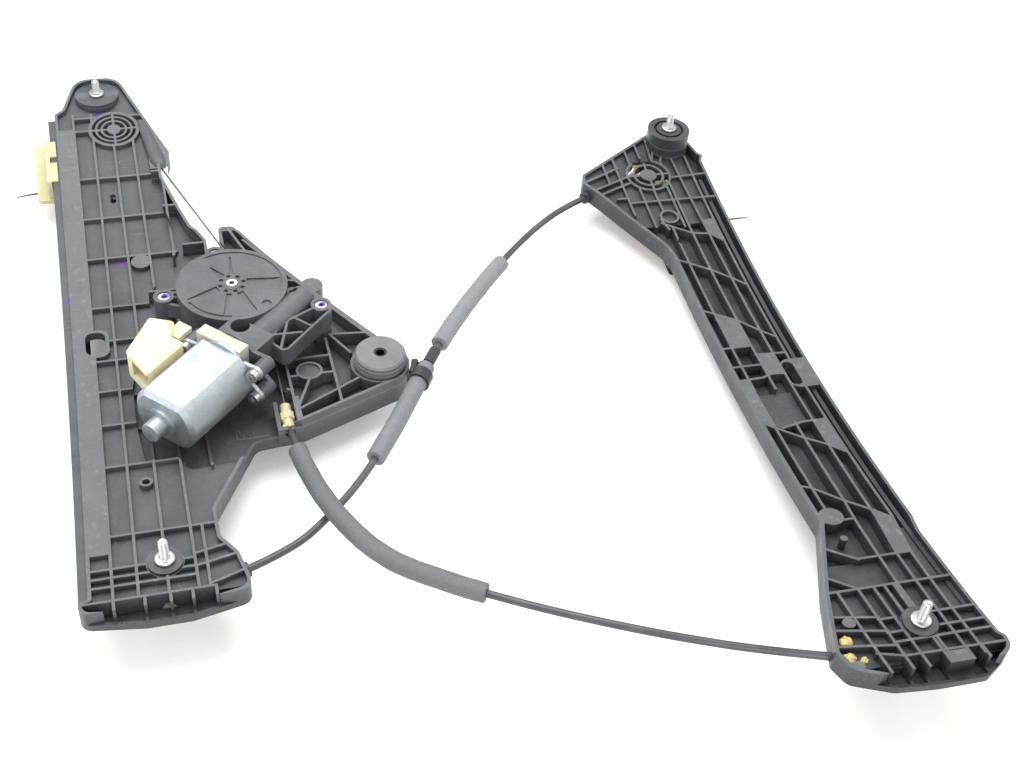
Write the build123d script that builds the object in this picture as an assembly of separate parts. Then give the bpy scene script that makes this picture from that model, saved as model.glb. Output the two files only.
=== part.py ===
from build123d import *
import math
import os

# Window regulator, twin rail, cable driven. Millimetres, +Z up.
# The origin is where the door's inner panel meets the flange of the drive carrier's lower
# stud, on the stud's axis. +Y runs up the rails, +X from the drive rail to the second rail,
# and the studs point along +Z. Heights below are measured from the drive carrier's rib tops
# at that stud, and the finished pieces are lowered by PANEL_SEAT to the shared origin.

# Rails: both are curved like the door glass
RAIL_RADIUS = 1500.0
DRIVE_ARC_Y = 247.6
SECOND_ARC_Y = 339.0
SECOND_POS = (417.0, -144.0, 18.2)
SECOND_TURN = -1.09
DRIVE_WIRE_X = 17.0

# Moulded carriers
WALL = 2.2
RIB = 1.8
FLOOR = 2.4
SKIRT = 15.0
DRIVE_POCKET = 4.0
RAISED = 7.0
RAISED_BASE = -12.0
MOTOR_RECESS = 6.0
SECOND_TOP_POCKET = 3.6
SECOND_WAIST_POCKET = 9.0
SECOND_FOOT_POCKET = 5.0
FOOT_DROP = 10.0
RAIL_INNER_X = 31.0

# Slide rail on the back of each carrier
DRIVE_RAIL_X = -39.5
SECOND_RAIL_X = 37.5
RAIL_WEB = 3.0
RAIL_HEAD = 10.0
RAIL_HEAD_TOP = 18.0
RAIL_HEAD_BOTTOM = 21.0
RAIL_START = 6.0
RAIL_GAP = 0.35
SHOE = 16.0
FLANGE_WIDTH = 5.5
FLANGE_TOP = 2.0
FLANGE_BOTTOM = 5.0

# Studs and washers
STUD_R = 3.0
STUD_FLANGE_R = 6.2
STUD_FLANGE = 2.4
STUD_LENGTH = 19.0
UPPER_STUD_LENGTH = 13.0
STUD_ROOT = 5.0
WASHER_R = 10.6
WASHER = 2.0
PANEL_SEAT = WASHER + STUD_FLANGE
DRIVE_TOP_STUD = (-10.3, 501.0)
DRIVE_TOP_SEAT = 1.0
TOP_DISC_R = 17.3
SECOND_TOP_STUD = (20.0, 521.5)
SECOND_BOSS_R = 17.5
SECOND_BOSS_RISE = 15.0

# Cable and its pulleys
CABLE_D = 1.5
CABLE_JOIN_R = 0.85
CABLE_CLEAR = 0.3
DRIVE_CABLE = 10.0
SECOND_CABLE = 12.3
PULLEY_R = 17.0
PULLEY_RIM = 1.6
PULLEY_WIDTH = 5.0
PIN_R = 4.0
RUNNING = 0.06
DRIVE_PULLEY = (0.0, 459.0)
SECOND_PULLEY = (-6.5, 486.0)
GUIDE_R = 16.5
PEG_R = 2.5
DRIVE_GUIDE = (-0.5, -8.3)
SECOND_GUIDE = (-6.0, -4.1)

# Drum and gear unit
DRUM_CENTRE = (67.5, 229.5)
DRUM_R = 22.0
DRUM_RIM = 1.8
DRUM_TOP = -8.7
DRUM_WIDTH = 11.6
DRUM_GROOVES = 4
DRUM_PITCH = 2.4
DRUM_HUB_R = 8.0
DRUM_FLOOR_Z = -21.6
LOWER_GROOVE_Z = -18.2
UPPER_GROOVE_Z = LOWER_GROOVE_Z + (DRUM_GROOVES - 1) * DRUM_PITCH
HUB_PIN_R = 4.0
HUB_PIN_FOOT = -29.0
HUB_PIN_BORE = 1.8
WHEEL_R = 36.2
WHEEL_TEETH = 60
WHEEL_BOTTOM = -2.5
WHEEL_TOP = 8.0
TOOTH = 2.0
HOUSING_R = 38.6
HOUSING_WALL = 1.8
HOUSING_TOP = 13.0
HOUSING_BASE = -5.5
COVER = 2.6
BASE_PLATE = 2.4
EARS = [(60.3, 271.4), (20.2, 230.1), (125.9, 203.3)]
EAR_R = 7.2
EAR_TOP = 8.0
EAR_SEAT = -10.0
EAR_SCREW_R = 2.0
DRAIN_HOLE = (67.6, 184.0)
DRAIN_R = 6.0
BORE_BOSS = (108.5, 217.5)

# Motor, laid out along its own shaft
WORM_DISTANCE = 42.9
MOTOR_TURN = 44.5
MOTOR_Z = 4.0
WORM_R = 6.3
WORM_LENGTH = 26.0
SHAFT_R = 2.5
CAN_R = 24.0
CAN_HALF = 18.5
CAN_WALL = 1.8
CAN_REAR = -124.0
CAN_FRONT = -64.0
TAIL_R = 6.6
TAIL = 13.0
FLANGE = 2.5
HOLDER = 9.5
HOLDER_END = CAN_FRONT + FLANGE + HOLDER
FLANGE_SCREWS = [(30.0, 4.0), (-27.2, 10.0), (-27.2, -10.5)]
FLANGE_SCREW_R = 2.2
CORE_R = 14.0
COMMUTATOR_R = 8.0
BEARING_R = 4.8
CONNECTOR_LOW = -6.0
CONNECTOR_HIGH = 16.0
PLUG_CENTRE = (-96.0, 38.0)
PLUG_TURN = 18.0
COVER_WEDGES = [(2, 34, 8), (-66, 33, 5), (-106, 34, 4), (200, 34, 6), (86, 30, 3), (122, 24, 5)]

# Rubber mount
MOUNT = (159.0, 156.5)
MOUNT_R = 18.0
MOUNT_SEAT = -11.4
MOUNT_HEIGHT = 11.0
MOUNT_BORE_R = 3.1
SLEEVE_R = 4.6
TIP_R = 20.5

# Conduits and foam sleeves
CONDUIT_D = 5.0
CONDUIT_BORE = 2.6
SOCKET_DEPTH = 10.0
FOAM_D = 12.5
FOAM_BORE = 5.3
ADJUSTER_X = 89.2
ADJUSTER_TOP = 132.0
ADJUSTER_END = 108.0
ADJUSTER_Z = -15.0
ADJUSTER_R = 5.0

# Sliders, measured from the rail's rib tops
SLIDER_TOP = 16.0
SLIDER_PLATE = 3.0
SHOE_BOTTOM = 23.4
GLASS_GAP = 5.0
JAW = 3.2
PAD = 1.2
DRIVE_SLIDER_Y = 398.0
SECOND_SLIDER_Y = 396.0
SLIDER_LENGTH = 74.0
CLAMP_SCREW_R = 2.5

CONDUIT_A = [
    (ADJUSTER_X, ADJUSTER_END + 4, ADJUSTER_Z), (91, 82, -11.5), (97, 44, -4), (107, 9, 1.5),
    (126.5, -25.6, 3), (158, -50, 4), (198.2, -75.3, 5), (239.7, -98.1, 6),
    (283, -119.3, 7), (326.3, -137.4, 7.5), (370.8, -152, 7.8),
]
CONDUIT_B = [
    (38, -10.5, -9.3), (74, 1.5, -9), (101, 23.5, -9), (128, 52, -9), (150.5, 84, -9),
    (172, 117.5, -9), (197, 158.5, -9.5), (224, 196, -11), (253, 232.5, -13.5),
    (285, 270, -17), (316, 301, -20), (344, 323.5, -22.8), (371, 338, -25),
]
FOAM_A = (0.068, 0.415)
FOAM_B_LOW = (0.205, 0.415)
FOAM_B_HIGH = (0.455, 0.80)


# Curved surfaces shared by everything on a rail

def axis_z(arc_y):
    """Height of a rail's axis above its stud seat."""
    return math.sqrt(RAIL_RADIUS**2 - arc_y**2)


def surface_z(y, rise, arc_y):
    """Height of the surface that lies rise above a carrier's rib tops."""
    radius = RAIL_RADIUS - rise
    return axis_z(arc_y) - math.sqrt(radius**2 - (y - arc_y)**2)


def rail_arc(x, y_from, y_to, rise, arc_y):
    """Arc along the rail at one height, from one end to the other."""
    middle = (y_from + y_to) / 2
    points = [(x, y, surface_z(y, rise, arc_y)) for y in (y_from, middle, y_to)]
    return ThreePointArc(*points)


def band(top, bottom, arc_y):
    """All the space between two of those surfaces."""
    low, high = -70.0, 560.0
    upper = rail_arc(-120, low, high, top, arc_y)
    lower = rail_arc(-120, low, high, bottom, arc_y)
    sides = [Line(upper @ 0, lower @ 0), Line(upper @ 1, lower @ 1)]
    return extrude(make_face([upper, lower] + sides), 330, dir=(1, 0, 0))


def slab(face, top, bottom, arc_y):
    """A plan outline given thickness between two rail surfaces."""
    prism = extrude(Pos(0, 0, -90) * face, 160)
    return prism & band(top, bottom, arc_y)


def plan(*corners):
    """Closed plan outline, each corner given as x, y and its radius."""
    points = [(x, y) for x, y, _ in corners]
    radii = [r for _, _, r in corners]
    return make_face(FilletPolyline(*points, radius=radii, close=True))


def box_plan(x0, x1, y0, y1, radius=0.0):
    """Rectangle from its corner coordinates."""
    shape = Pos((x0 + x1) / 2, (y0 + y1) / 2) * Rectangle(x1 - x0, y1 - y0)
    if radius:
        shape = fillet(shape.vertices(), radius)
    return shape


def strip(start, end, width=RIB):
    """Plan of one straight rib."""
    (x0, y0), (x1, y1) = start, end
    length = math.hypot(x1 - x0, y1 - y0)
    turn = math.degrees(math.atan2(y1 - y0, x1 - x0))
    middle = Location(((x0 + x1) / 2, (y0 + y1) / 2, 0), (0, 0, turn))
    return middle * Rectangle(length + width * 0.9, width)


def rib_plan(runs, width=RIB):
    """Plan of many ribs, each a run of points."""
    pieces = []
    for run in runs:
        for start, end in zip(run, run[1:]):
            pieces.append(strip(start, end, width))
    return pieces


def disc(centre, radius):
    """Circle in plan."""
    return Pos(*centre) * Circle(radius)


def post(centre, radius, z0, z1):
    """Upright cylinder between two heights."""
    return extrude(Pos(centre[0], centre[1], z0) * Circle(radius), z1 - z0)


def ring(centre, outer, inner, z0, z1):
    """Upright tube between two heights."""
    return post(centre, outer, z0, z1) - post(centre, inner, z0 - 1, z1 + 1)


def rod(start, end, diameter):
    """Straight round bar between two points."""
    line = Line(start, end)
    return sweep(Plane(origin=line @ 0, z_dir=line % 0) * Circle(diameter / 2), path=line)


def along(path, outer, inner=0.0):
    """Round tube or bar that follows a path."""
    start = Plane(origin=path @ 0, z_dir=path % 0)
    section = start * Circle(outer / 2)
    if inner:
        section = section - start * Circle(inner / 2)
    return sweep(section, path=path)


def tangent_point(point, centre, radius, side):
    """Where a line from a point touches a circle; side is +1 for its left."""
    dx, dy = centre[0] - point[0], centre[1] - point[1]
    distance = math.hypot(dx, dy)
    bearing = math.atan2(dy, dx) + side * math.asin(radius / distance)
    reach = math.sqrt(distance**2 - radius**2)
    return (point[0] + reach * math.cos(bearing), point[1] + reach * math.sin(bearing))


def second_frame():
    """Places the second carrier's own frame beside the drive carrier."""
    return Location(SECOND_POS, (0, 0, SECOND_TURN))


def motor_frame():
    """Frame on the motor shaft, opposite the drum, with X along the shaft."""
    turn = math.radians(MOTOR_TURN)
    x = DRUM_CENTRE[0] + WORM_DISTANCE * math.sin(turn)
    y = DRUM_CENTRE[1] - WORM_DISTANCE * math.cos(turn)
    return Location((x, y, MOTOR_Z), (0, 0, MOTOR_TURN))


# Drive carrier

def drive_outline():
    """Outer edge of the drive carrier in plan."""
    body = plan(
        (-45, 481, 3), (-38.5, 486, 0), (-26.5, 519.6, 15), (7.2, 519.6, 15), (40.5, 427, 4),
        (36, 411, 2), (31.6, 408, 0), (31.9, 390.4, 0), (40.5, 356, 0), (47.5, 331, 3),
        (51.5, 326, 2), (57, 313, 0), (57, 296, 3), (67.2, 292, 2), (67.2, 326, 3),
        (77.5, 326, 4), (83, 319, 3), (98, 291.4, 0), (119, 256.7, 0), (163, 185.2, 3),
        (172, 168, 0), (169, 138.7, 0), (97, 108, 0), (78, 106.5, 4), (66, 105, 8),
        (33.5, 42, 8), (34, 16, 8), (43, 0, 0), (47, -22, 0), (47, -32, 8),
        (12, -40, 0), (-14, -40, 0), (-50.5, -34, 8), (-50.5, -24, 0), (-45, -22, 0),
    )
    lug = disc((126.5, 250), 8)
    return body + disc(MOUNT, TIP_R) + lug


def raised_outline():
    """The higher part of the drive carrier, around the drum and out to the wing."""
    return plan(
        (23.5, 402, 0), (60, 420, 0), (60, 340, 0), (140, 345, 0), (200, 160, 0),
        (180, 120, 0), (97, 90, 0), (76, 90, 0), (80, 150, 10), (60, 200, 10),
        (36, 208, 6), (12, 226, 8), (10, 262, 10), (22, 292, 10), (38, 316, 6), (28, 362, 0),
    )


def recess_outline():
    """Where the motor lies, sunk below the rib tops."""
    return plan(
        (14, 240, 0), (30, 216, 0), (64, 200, 0), (92, 150, 0), (92, 90, 0), (20, 84, 8),
        (16, 96, 6), (-5, 96, 6), (-8, 134, 0), (-8, 175, 6), (-2, 205, 6),
    )


def drive_ribs():
    """Ribs of the low part."""
    long_ribs = [
        [(-31, -26), (-31, 478)], [(-16.7, -26), (-16.7, 478)], [(0.5, -26), (-1.5, 445)],
        [(17.5, -26), (13.6, 447)], [(36, 84), (32, 362)],
    ]
    right_ends = {474: 26, 459: 30, 403.5: 24, 357.5: 29, 312: 40, 258: 10, 94: 19}
    right_ends.update({201: 0, 169.5: 0, 135: 0, 29.5: 36})
    across = [[(-31, y), (x, y)] for y, x in right_ends.items()]
    window = [[(-22, 222), (2, 222)]]
    motor = [[(17, 94), (22, 87), (60, 88)]]
    foot = [[(-46, y), (16, y)] for y in (1, -6.5, -14)] + [[(-50, -26), (27, -26)]]
    heel = [[(24, 29), (24, -26)], [(17, 4), (42, 10)], [(17, -7), (45, 0)], [(24, -24), (50, -14)]]
    return long_ribs + across + window + motor + foot + heel


def wing_ribs():
    """Ribs of the raised part and the wing."""
    return [
        [(32, 390), (32, 300)], [(24, 398), (34, 398)], [(30, 357), (42, 357)],
        [(40, 311), (58, 311)], [(10, 262), (36, 262)], [(66, 322), (84, 322)],
        [(73, 328), (86, 290)], [(66, 291), (100, 291)], [(88, 312), (162, 180)],
        [(96, 262), (120, 256)], [(130, 194), (160, 191)], [(130, 194), (141, 172)],
        [(126.5, 190), (126.5, 118)], [(96, 172), (126.5, 172)], [(96, 154), (126.5, 154)],
        [(96, 119), (145, 146)], [(96, 119), (110, 152)], [(95.5, 196), (95.5, 110)],
        [(70, 150), (96, 140)], [(83.5, 140), (83.5, 108)],
    ]


def foot_ribs():
    """Ribs that run forward over the foot's deep front pockets."""
    return [[(x, -24), (x, -44)] for x in (-31, -13.5, 1, 13.5, 27)]


def pulley_grille(centre, radii, keep):
    """Ring slots over a pulley, crossed by two ribs."""
    slots = disc(centre, radii[0][1]) - disc(centre, radii[0][0])
    for inner, outer in radii[1:]:
        slots += disc(centre, outer) - disc(centre, inner)
    x, y = centre
    cross = [strip((x - 25, y), (x + 25, y), keep), strip((x, y - 25), (x, y + 25), keep)]
    return slots - cross


def drive_rail():
    """Slide rail behind the drive carrier, and the flange along its edge."""
    high = DRIVE_SLIDER_Y + SLIDER_LENGTH + 8
    edge = box_plan(-45 - FLANGE_WIDTH, -44, -26, 476, 0)
    rail = slide_rail(DRIVE_RAIL_X, high, DRIVE_POCKET, DRIVE_ARC_Y)
    return rail + slab(edge, -FLANGE_TOP, -FLANGE_BOTTOM, DRIVE_ARC_Y)


def slide_rail(x, high, root, arc_y):
    """T-shaped slide rail along a carrier's back."""
    web = box_plan(x - RAIL_WEB / 2, x + RAIL_WEB / 2, RAIL_START, high)
    head = box_plan(x - RAIL_HEAD / 2, x + RAIL_HEAD / 2, RAIL_START, high)
    rail = slab(web, -root, -RAIL_HEAD_TOP, arc_y)
    return rail + slab(head, -RAIL_HEAD_TOP, -RAIL_HEAD_BOTTOM, arc_y)


def cable_way():
    """Clear way through the carrier for the two cables that leave the drum."""
    up = rod(*upper_run(), CABLE_D + 2.6)
    return up + rod(*lower_run(), CABLE_D + 2.6)


def upper_run():
    """Ends of the straight run from the drum to the drive pulley."""
    (x0, y0), (x1, y1) = tangent_line_up()
    end_z = surface_z(DRIVE_PULLEY[1], -DRIVE_CABLE, DRIVE_ARC_Y)
    return (x0, y0, UPPER_GROOVE_Z), (x1, y1, end_z)


def lower_run():
    """Ends of the straight run from the drum to the adjuster."""
    x, y = tangent_down()
    return (x, y, LOWER_GROOVE_Z), (ADJUSTER_X, ADJUSTER_TOP, ADJUSTER_Z)


def tangent_line_up():
    """Ends of the cable run from the drum's right side to the drive pulley's."""
    dx = DRUM_CENTRE[0] - DRIVE_PULLEY[0]
    dy = DRUM_CENTRE[1] - DRIVE_PULLEY[1]
    lean = math.atan2(dy, dx) + math.acos((PULLEY_R - DRUM_R) / math.hypot(dx, dy))
    ux, uy = math.cos(lean), math.sin(lean)
    start = (DRUM_CENTRE[0] + DRUM_R * ux, DRUM_CENTRE[1] + DRUM_R * uy)
    end = (DRIVE_PULLEY[0] + PULLEY_R * ux, DRIVE_PULLEY[1] + PULLEY_R * uy)
    return start, end


def tangent_down():
    """Where the second cable leaves the drum for the adjuster."""
    return tangent_point((ADJUSTER_X, ADJUSTER_TOP), DRUM_CENTRE, DRUM_R, -1)


def drive_carrier():
    """Ribbed moulding that holds the drive rail, the drum and the motor."""
    arc = DRIVE_ARC_Y
    outline = drive_outline()
    inner = offset(outline, -WALL)
    raised = raised_outline() & outline
    recess = recess_outline()
    recess_floor = MOTOR_RECESS + 3.5
    body = slab(outline, 0, -SKIRT, arc)
    body += slab(raised, RAISED, RAISED_BASE, arc)
    body -= slab(recess, 60, -MOTOR_RECESS, arc)

    # Low part: shallow cells over a plate, the slide strip left smooth
    window_rim = box_plan(-39, -20.5, 205.5, 234.5, 7)
    solid = [window_rim, disc(DRIVE_TOP_STUD, TOP_DISC_R), disc((0, 0), WASHER_R + 0.6)]
    solid += [disc((8, 304.5), 7.2), disc((-6, 75.5), 4.2), disc(DRIVE_PULLEY, 20)]
    solid += [box_plan(-50, -31, 14, 462), box_plan(24, 60, 409, 470)]
    ribs = rib_plan(drive_ribs())
    cells = inner - raised_outline() - recess - ribs - solid - box_plan(-60, 60, -60, -27)
    body -= slab(cells, 60, -DRIVE_POCKET, arc)
    body -= slab((recess & inner) - ribs, 60, -recess_floor, arc)

    # Foot: a row of deep pockets behind a lower front rim
    front = (inner & box_plan(-60, 60, -60, -27)) - rib_plan(foot_ribs())
    body -= slab(front, 60, -SKIRT + 2, arc)
    body -= slab(box_plan(-80, 80, -70, -34), 60, -FOOT_DROP, arc)

    # Raised part: tall cells, kept solid where something is fastened
    keep = [disc(DRUM_CENTRE, DRUM_R + 6), disc(MOUNT, TIP_R), disc((126.5, 250), 8)]
    keep += [disc(e, EAR_R) for e in EARS] + [disc(DRAIN_HOLE, DRAIN_R + 2.2)]
    keep += [disc((110, 158), 9.2), box_plan(80, 98.5, 104, 133), raised_edge()]
    tall = (raised_outline() & inner) - recess - rib_plan(wing_ribs()) - keep
    body -= slab(tall, 60, -DRIVE_POCKET, arc)
    body -= slab(disc((110, 158), 7.4), 60, RAISED - 1.5, arc)

    # Back: hollow between the side walls, with a few long ribs
    hollow = offset(outline, -WALL * 1.2)
    long_ribs = [[(-8, 235), (-8, 430)], [(-8, -40), (-8, 100)], [(22, 240), (22, 400)]]
    long_ribs += [[(100, 100), (60, 200)], [(60, 200), (172, 150)], [(24, 285), (60, 300)]]
    sunk = recess & hollow
    hollow -= [box_plan(80, 98.5, 100, 133), disc(DRUM_CENTRE, DRUM_R + 6)]
    hollow -= rib_plan(long_ribs)
    hollow -= [disc(e, 4.5) for e in EARS] + [disc(MOUNT, 9), disc(DRAIN_HOLE, DRAIN_R + 2)]
    hollow -= [box_plan(-60, 60, -60, -26), offset(recess, RIB)]
    body -= slab(hollow, -DRIVE_POCKET - FLOOR, -60, arc)
    body -= slab(sunk - rib_plan([[(8, 90), (8, 230)]]), -recess_floor - FLOOR, -60, arc)
    flap = plan((19, 470, 0), (24, 413, 0), (28, 404, 0), (37, 404, 0), (38, 427, 0), (23, 470, 0))
    body -= slab(flap, -2.8, -60, arc)

    # Rail, drum well, motor seats
    body += drive_rail()
    body += ring(DRUM_CENTRE, DRUM_R + 6, DRUM_R + 3.4, -24, DRUM_TOP)
    body -= post(DRUM_CENTRE, DRUM_R + 3.4, DRUM_FLOOR_Z, 30)
    body -= ring(DRUM_CENTRE, DRUM_R + 3.6, 8.5, -60, DRUM_FLOOR_Z - FLOOR)
    body -= post(DRUM_CENTRE, HUB_PIN_R, HUB_PIN_FOOT, 0)
    body -= cable_way()
    for ear in EARS:
        body -= post(ear, EAR_R + 0.5, EAR_SEAT, 40)
        body += post(ear, EAR_R - 1, -25, EAR_SEAT)
        body -= post(ear, EAR_SCREW_R, -22, EAR_SEAT + 1)

    # Stud seats, rubber mount seat, holes and windows
    body += post((0, 0), WASHER_R + 0.6, -5.4, 0)
    body -= post((0, 0), WASHER_R + 1.0, 0, 20)
    body += post(DRIVE_TOP_STUD, TOP_DISC_R, -6, DRIVE_TOP_SEAT)
    body -= post(DRIVE_TOP_STUD, TOP_DISC_R + 0.2, DRIVE_TOP_SEAT, 20)
    body -= post(MOUNT, MOUNT_R + 1.2, MOUNT_SEAT, 30)
    body -= post(MOUNT, SLEEVE_R + 0.05, -60, 30)
    body -= post(DRAIN_HOLE, DRAIN_R, -60, 30)
    window = box_plan(-36.5, -22.8, 208, 232, 6)
    body -= slab(window, 60, -SLIDER_TOP - 1, arc)
    through = [disc((-6, 75.5), 2.5), box_plan(-9.2, -4.8, 378, 388, 2)]
    through.append(pulley_grille(DRIVE_PULLEY, [(5.4, 8.8), (10.4, 13.2), (14.8, 17.4)], RIB))
    for opening in through:
        body -= extrude(Pos(0, 0, -90) * opening, 160)
    body = fit_pulley(body, drive_pulley_frame(), 7)
    body = fit_guide(body, drive_guide_frame(), 6)
    body -= post((0, 0), STUD_R, -STUD_ROOT, 1)
    body -= post(DRIVE_TOP_STUD, STUD_R, DRIVE_TOP_SEAT - STUD_ROOT, 2)

    # Cradle for the cable adjuster, and the socket of the second conduit
    x0, x1 = ADJUSTER_X - 8.0, ADJUSTER_X + 8.0
    cradle = box_plan(x0, x1, ADJUSTER_END - 3, ADJUSTER_TOP)
    body += extrude(Pos(0, 0, -24) * cradle, 24 + ADJUSTER_Z + 3.5)
    low = (ADJUSTER_X, ADJUSTER_END, ADJUSTER_Z)
    body -= rod(low, (ADJUSTER_X, ADJUSTER_TOP + 5, ADJUSTER_Z), ADJUSTER_R * 2 + 0.6)
    wide = ADJUSTER_R + 0.3
    slot = box_plan(ADJUSTER_X - wide, ADJUSTER_X + wide, ADJUSTER_END, ADJUSTER_TOP + 5)
    body -= extrude(Pos(0, 0, ADJUSTER_Z) * slot, 30)
    body -= rod((ADJUSTER_X, 95, ADJUSTER_Z), (ADJUSTER_X, 112, ADJUSTER_Z), CONDUIT_D + 2.4)
    return add_socket(body, CONDUIT_B[0], CONDUIT_B[1])


def fit_pulley(body, frame, grip):
    """Pocket and boss for a pulley and its pin under a carrier's plate."""
    half = PULLEY_WIDTH / 2
    body -= frame * post((0, 0), PULLEY_R + PULLEY_RIM + 1.2, -12, half + 0.9)
    body += frame * post((0, 0), 5.2, half + 0.3, half + grip)
    return body - frame * post((0, 0), PIN_R - 1.0, 0, half + grip - 1.5)


def fit_guide(body, frame, reach):
    """Pocket, boss and peg for a fixed cable guide."""
    half = PULLEY_WIDTH / 2
    body -= frame * post((0, 0), GUIDE_R + PULLEY_RIM + 1.0, -12, half + 0.3)
    body += frame * post((0, 0), 6.0, half, half + reach)
    return body + frame * post((0, 0), PEG_R, -half, half + 1)


def add_socket(body, start, toward):
    """Round socket that a conduit end is pushed into, with a hole for the cable."""
    direction = (Vector(*toward) - Vector(*start)).normalized()
    seat = Vector(*start)
    mouth = seat + direction * SOCKET_DEPTH
    inner = seat - direction * 3
    body += rod(tuple(inner), tuple(mouth), CONDUIT_D + 4.6)
    body -= rod(tuple(seat), tuple(mouth + direction * 6), CONDUIT_D + 0.6)
    return body - rod(tuple(inner - direction * 12), tuple(mouth), CABLE_D + 1.5)


def raised_edge():
    """Double wall along the wing's upper edge."""
    return strip((84, 309), (161, 182), RIB)


def drive_pulley_frame():
    """The drive pulley's place, tipped half way between its two cable runs."""
    x, y = DRIVE_PULLEY
    tilt = math.degrees(math.asin((y - DRIVE_ARC_Y) / RAIL_RADIUS)) / 2
    return Location((x, y, surface_z(y, -DRIVE_CABLE, DRIVE_ARC_Y)), (tilt, 0, 0))


def second_pulley_frame():
    """The second pulley's place in the second carrier's frame."""
    x, y = SECOND_PULLEY
    tilt = math.degrees(math.asin((y - SECOND_ARC_Y) / RAIL_RADIUS)) / 2
    return Location((x, y, surface_z(y, -SECOND_CABLE, SECOND_ARC_Y)), (tilt, 0, 0))


# Second carrier, in its own frame with its lower stud at the origin

def second_outline():
    """Outer edge of the second carrier in plan."""
    body = plan(
        (-15, 388, 25), (-18, 402, 6), (-53, 467, 4), (-63.5, 483, 4), (-61.5, 492.5, 4),
        (4, 533, 0), (20, 541, 0), (37, 530, 0), (43.8, 508, 0), (47, 504.5, 1),
        (44, 498, 0), (44, 92, 4), (41.5, 78, 4), (41.5, -16, 0), (44, -20, 1),
        (43, -26, 1), (40, -31, 4), (24, -41.5, 6), (-6, -41.5, 10), (-32, -39, 10),
        (-55, -27, 8), (-58.5, -12, 5), (-42.5, 35, 0), (-17, 97, 10),
    )
    return body + disc(SECOND_TOP_STUD, SECOND_BOSS_R)


def second_ribs():
    """Long, cross and diagonal ribs."""
    long_ribs = [
        [(-5.5, 423), (-6.5, 300), (-8, 195), (-8.8, 95)],
        [(8.5, 500), (8.5, 250), (7, 114), (5.8, 95), (4.4, 35), (4.4, -24)],
        [(18.5, 512), (21.6, 412), (21.3, 190), (20.3, 95), (17, 60), (16, -30)],
        [(31, 505), (31, 95), (26.5, 60), (25, -30)],
    ]
    diagonals = [
        [(-13, 428), (-6, 423), (9, 413), (22, 411), (31, 401)],
        [(-14, 384), (-6, 379), (8.5, 369), (12, 366), (22, 357), (31, 348)],
        [(-14, 324), (-6, 319), (9, 309), (22, 295), (31, 287)],
        [(-15, 198), (-8, 192), (7, 179), (20, 170), (31, 159)],
        [(-16, 133), (-9, 130), (7, 114), (20, 103), (30, 93)],
        [(-30, 77), (-9, 60)], [(-40, 52), (-22, 36)],
    ]
    across = [
        [(-16, 280), (8, 280)], [(8, 270), (31, 269)], [(-16, 259), (8, 259)],
        [(-16, 244), (4, 245), (12, 248), (22, 247)], [(-3, 191), (14, 195), (31, 195)],
        [(-18, 96.5), (6, 96.5)], [(-9, 60.5), (27, 60.5)], [(-44, 35.3), (42, 35.3)],
        [(7, 8), (42, 8)], [(7, -3.5), (42, -3.5)], [(2, -11.5), (42, -11.5)],
        [(-22, 8), (-11, 8)], [(-22, -3.5), (-11, -3.5)], [(-22, -11.5), (2, -11.5)],
        [(-50, 16), (-21, 10)], [(-52, 5), (-21, -2)], [(-56, -8), (-21, -14)],
        [(-36, -18), (-21, -23), (42, -24)],
    ]
    top = [
        [(-31.5, 510), (-31.5, 440)], [(-41.5, 506), (-41.5, 480)], [(-18.5, 518), (-18.5, 424)],
        [(-8, 524), (-7, 440), (-12, 432), (-9, 420)], [(3, 528), (1, 504)], [(5, 470), (5, 422)],
        [(-62, 483), (-30, 497)], [(-54, 474), (-24, 486)], [(-50, 468), (-18, 481)],
        [(-40, 460.5), (-31, 460.5)], [(-31, 454.5), (44, 454.5)], [(12, 481), (44, 483)],
        [(2, 504), (12, 532)], [(8, 500), (20, 530)],
    ]
    foot = [[(x, 35), (x, -30)] for x in (-35, -21.5, -11.5)] + [[(2, -10), (2, -30)]]
    foot += [[(-4.5, 35), (-4.5, 10)], [(1.5, 35), (1.5, 9)]]
    return long_ribs + diagonals + across + top + foot


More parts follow.
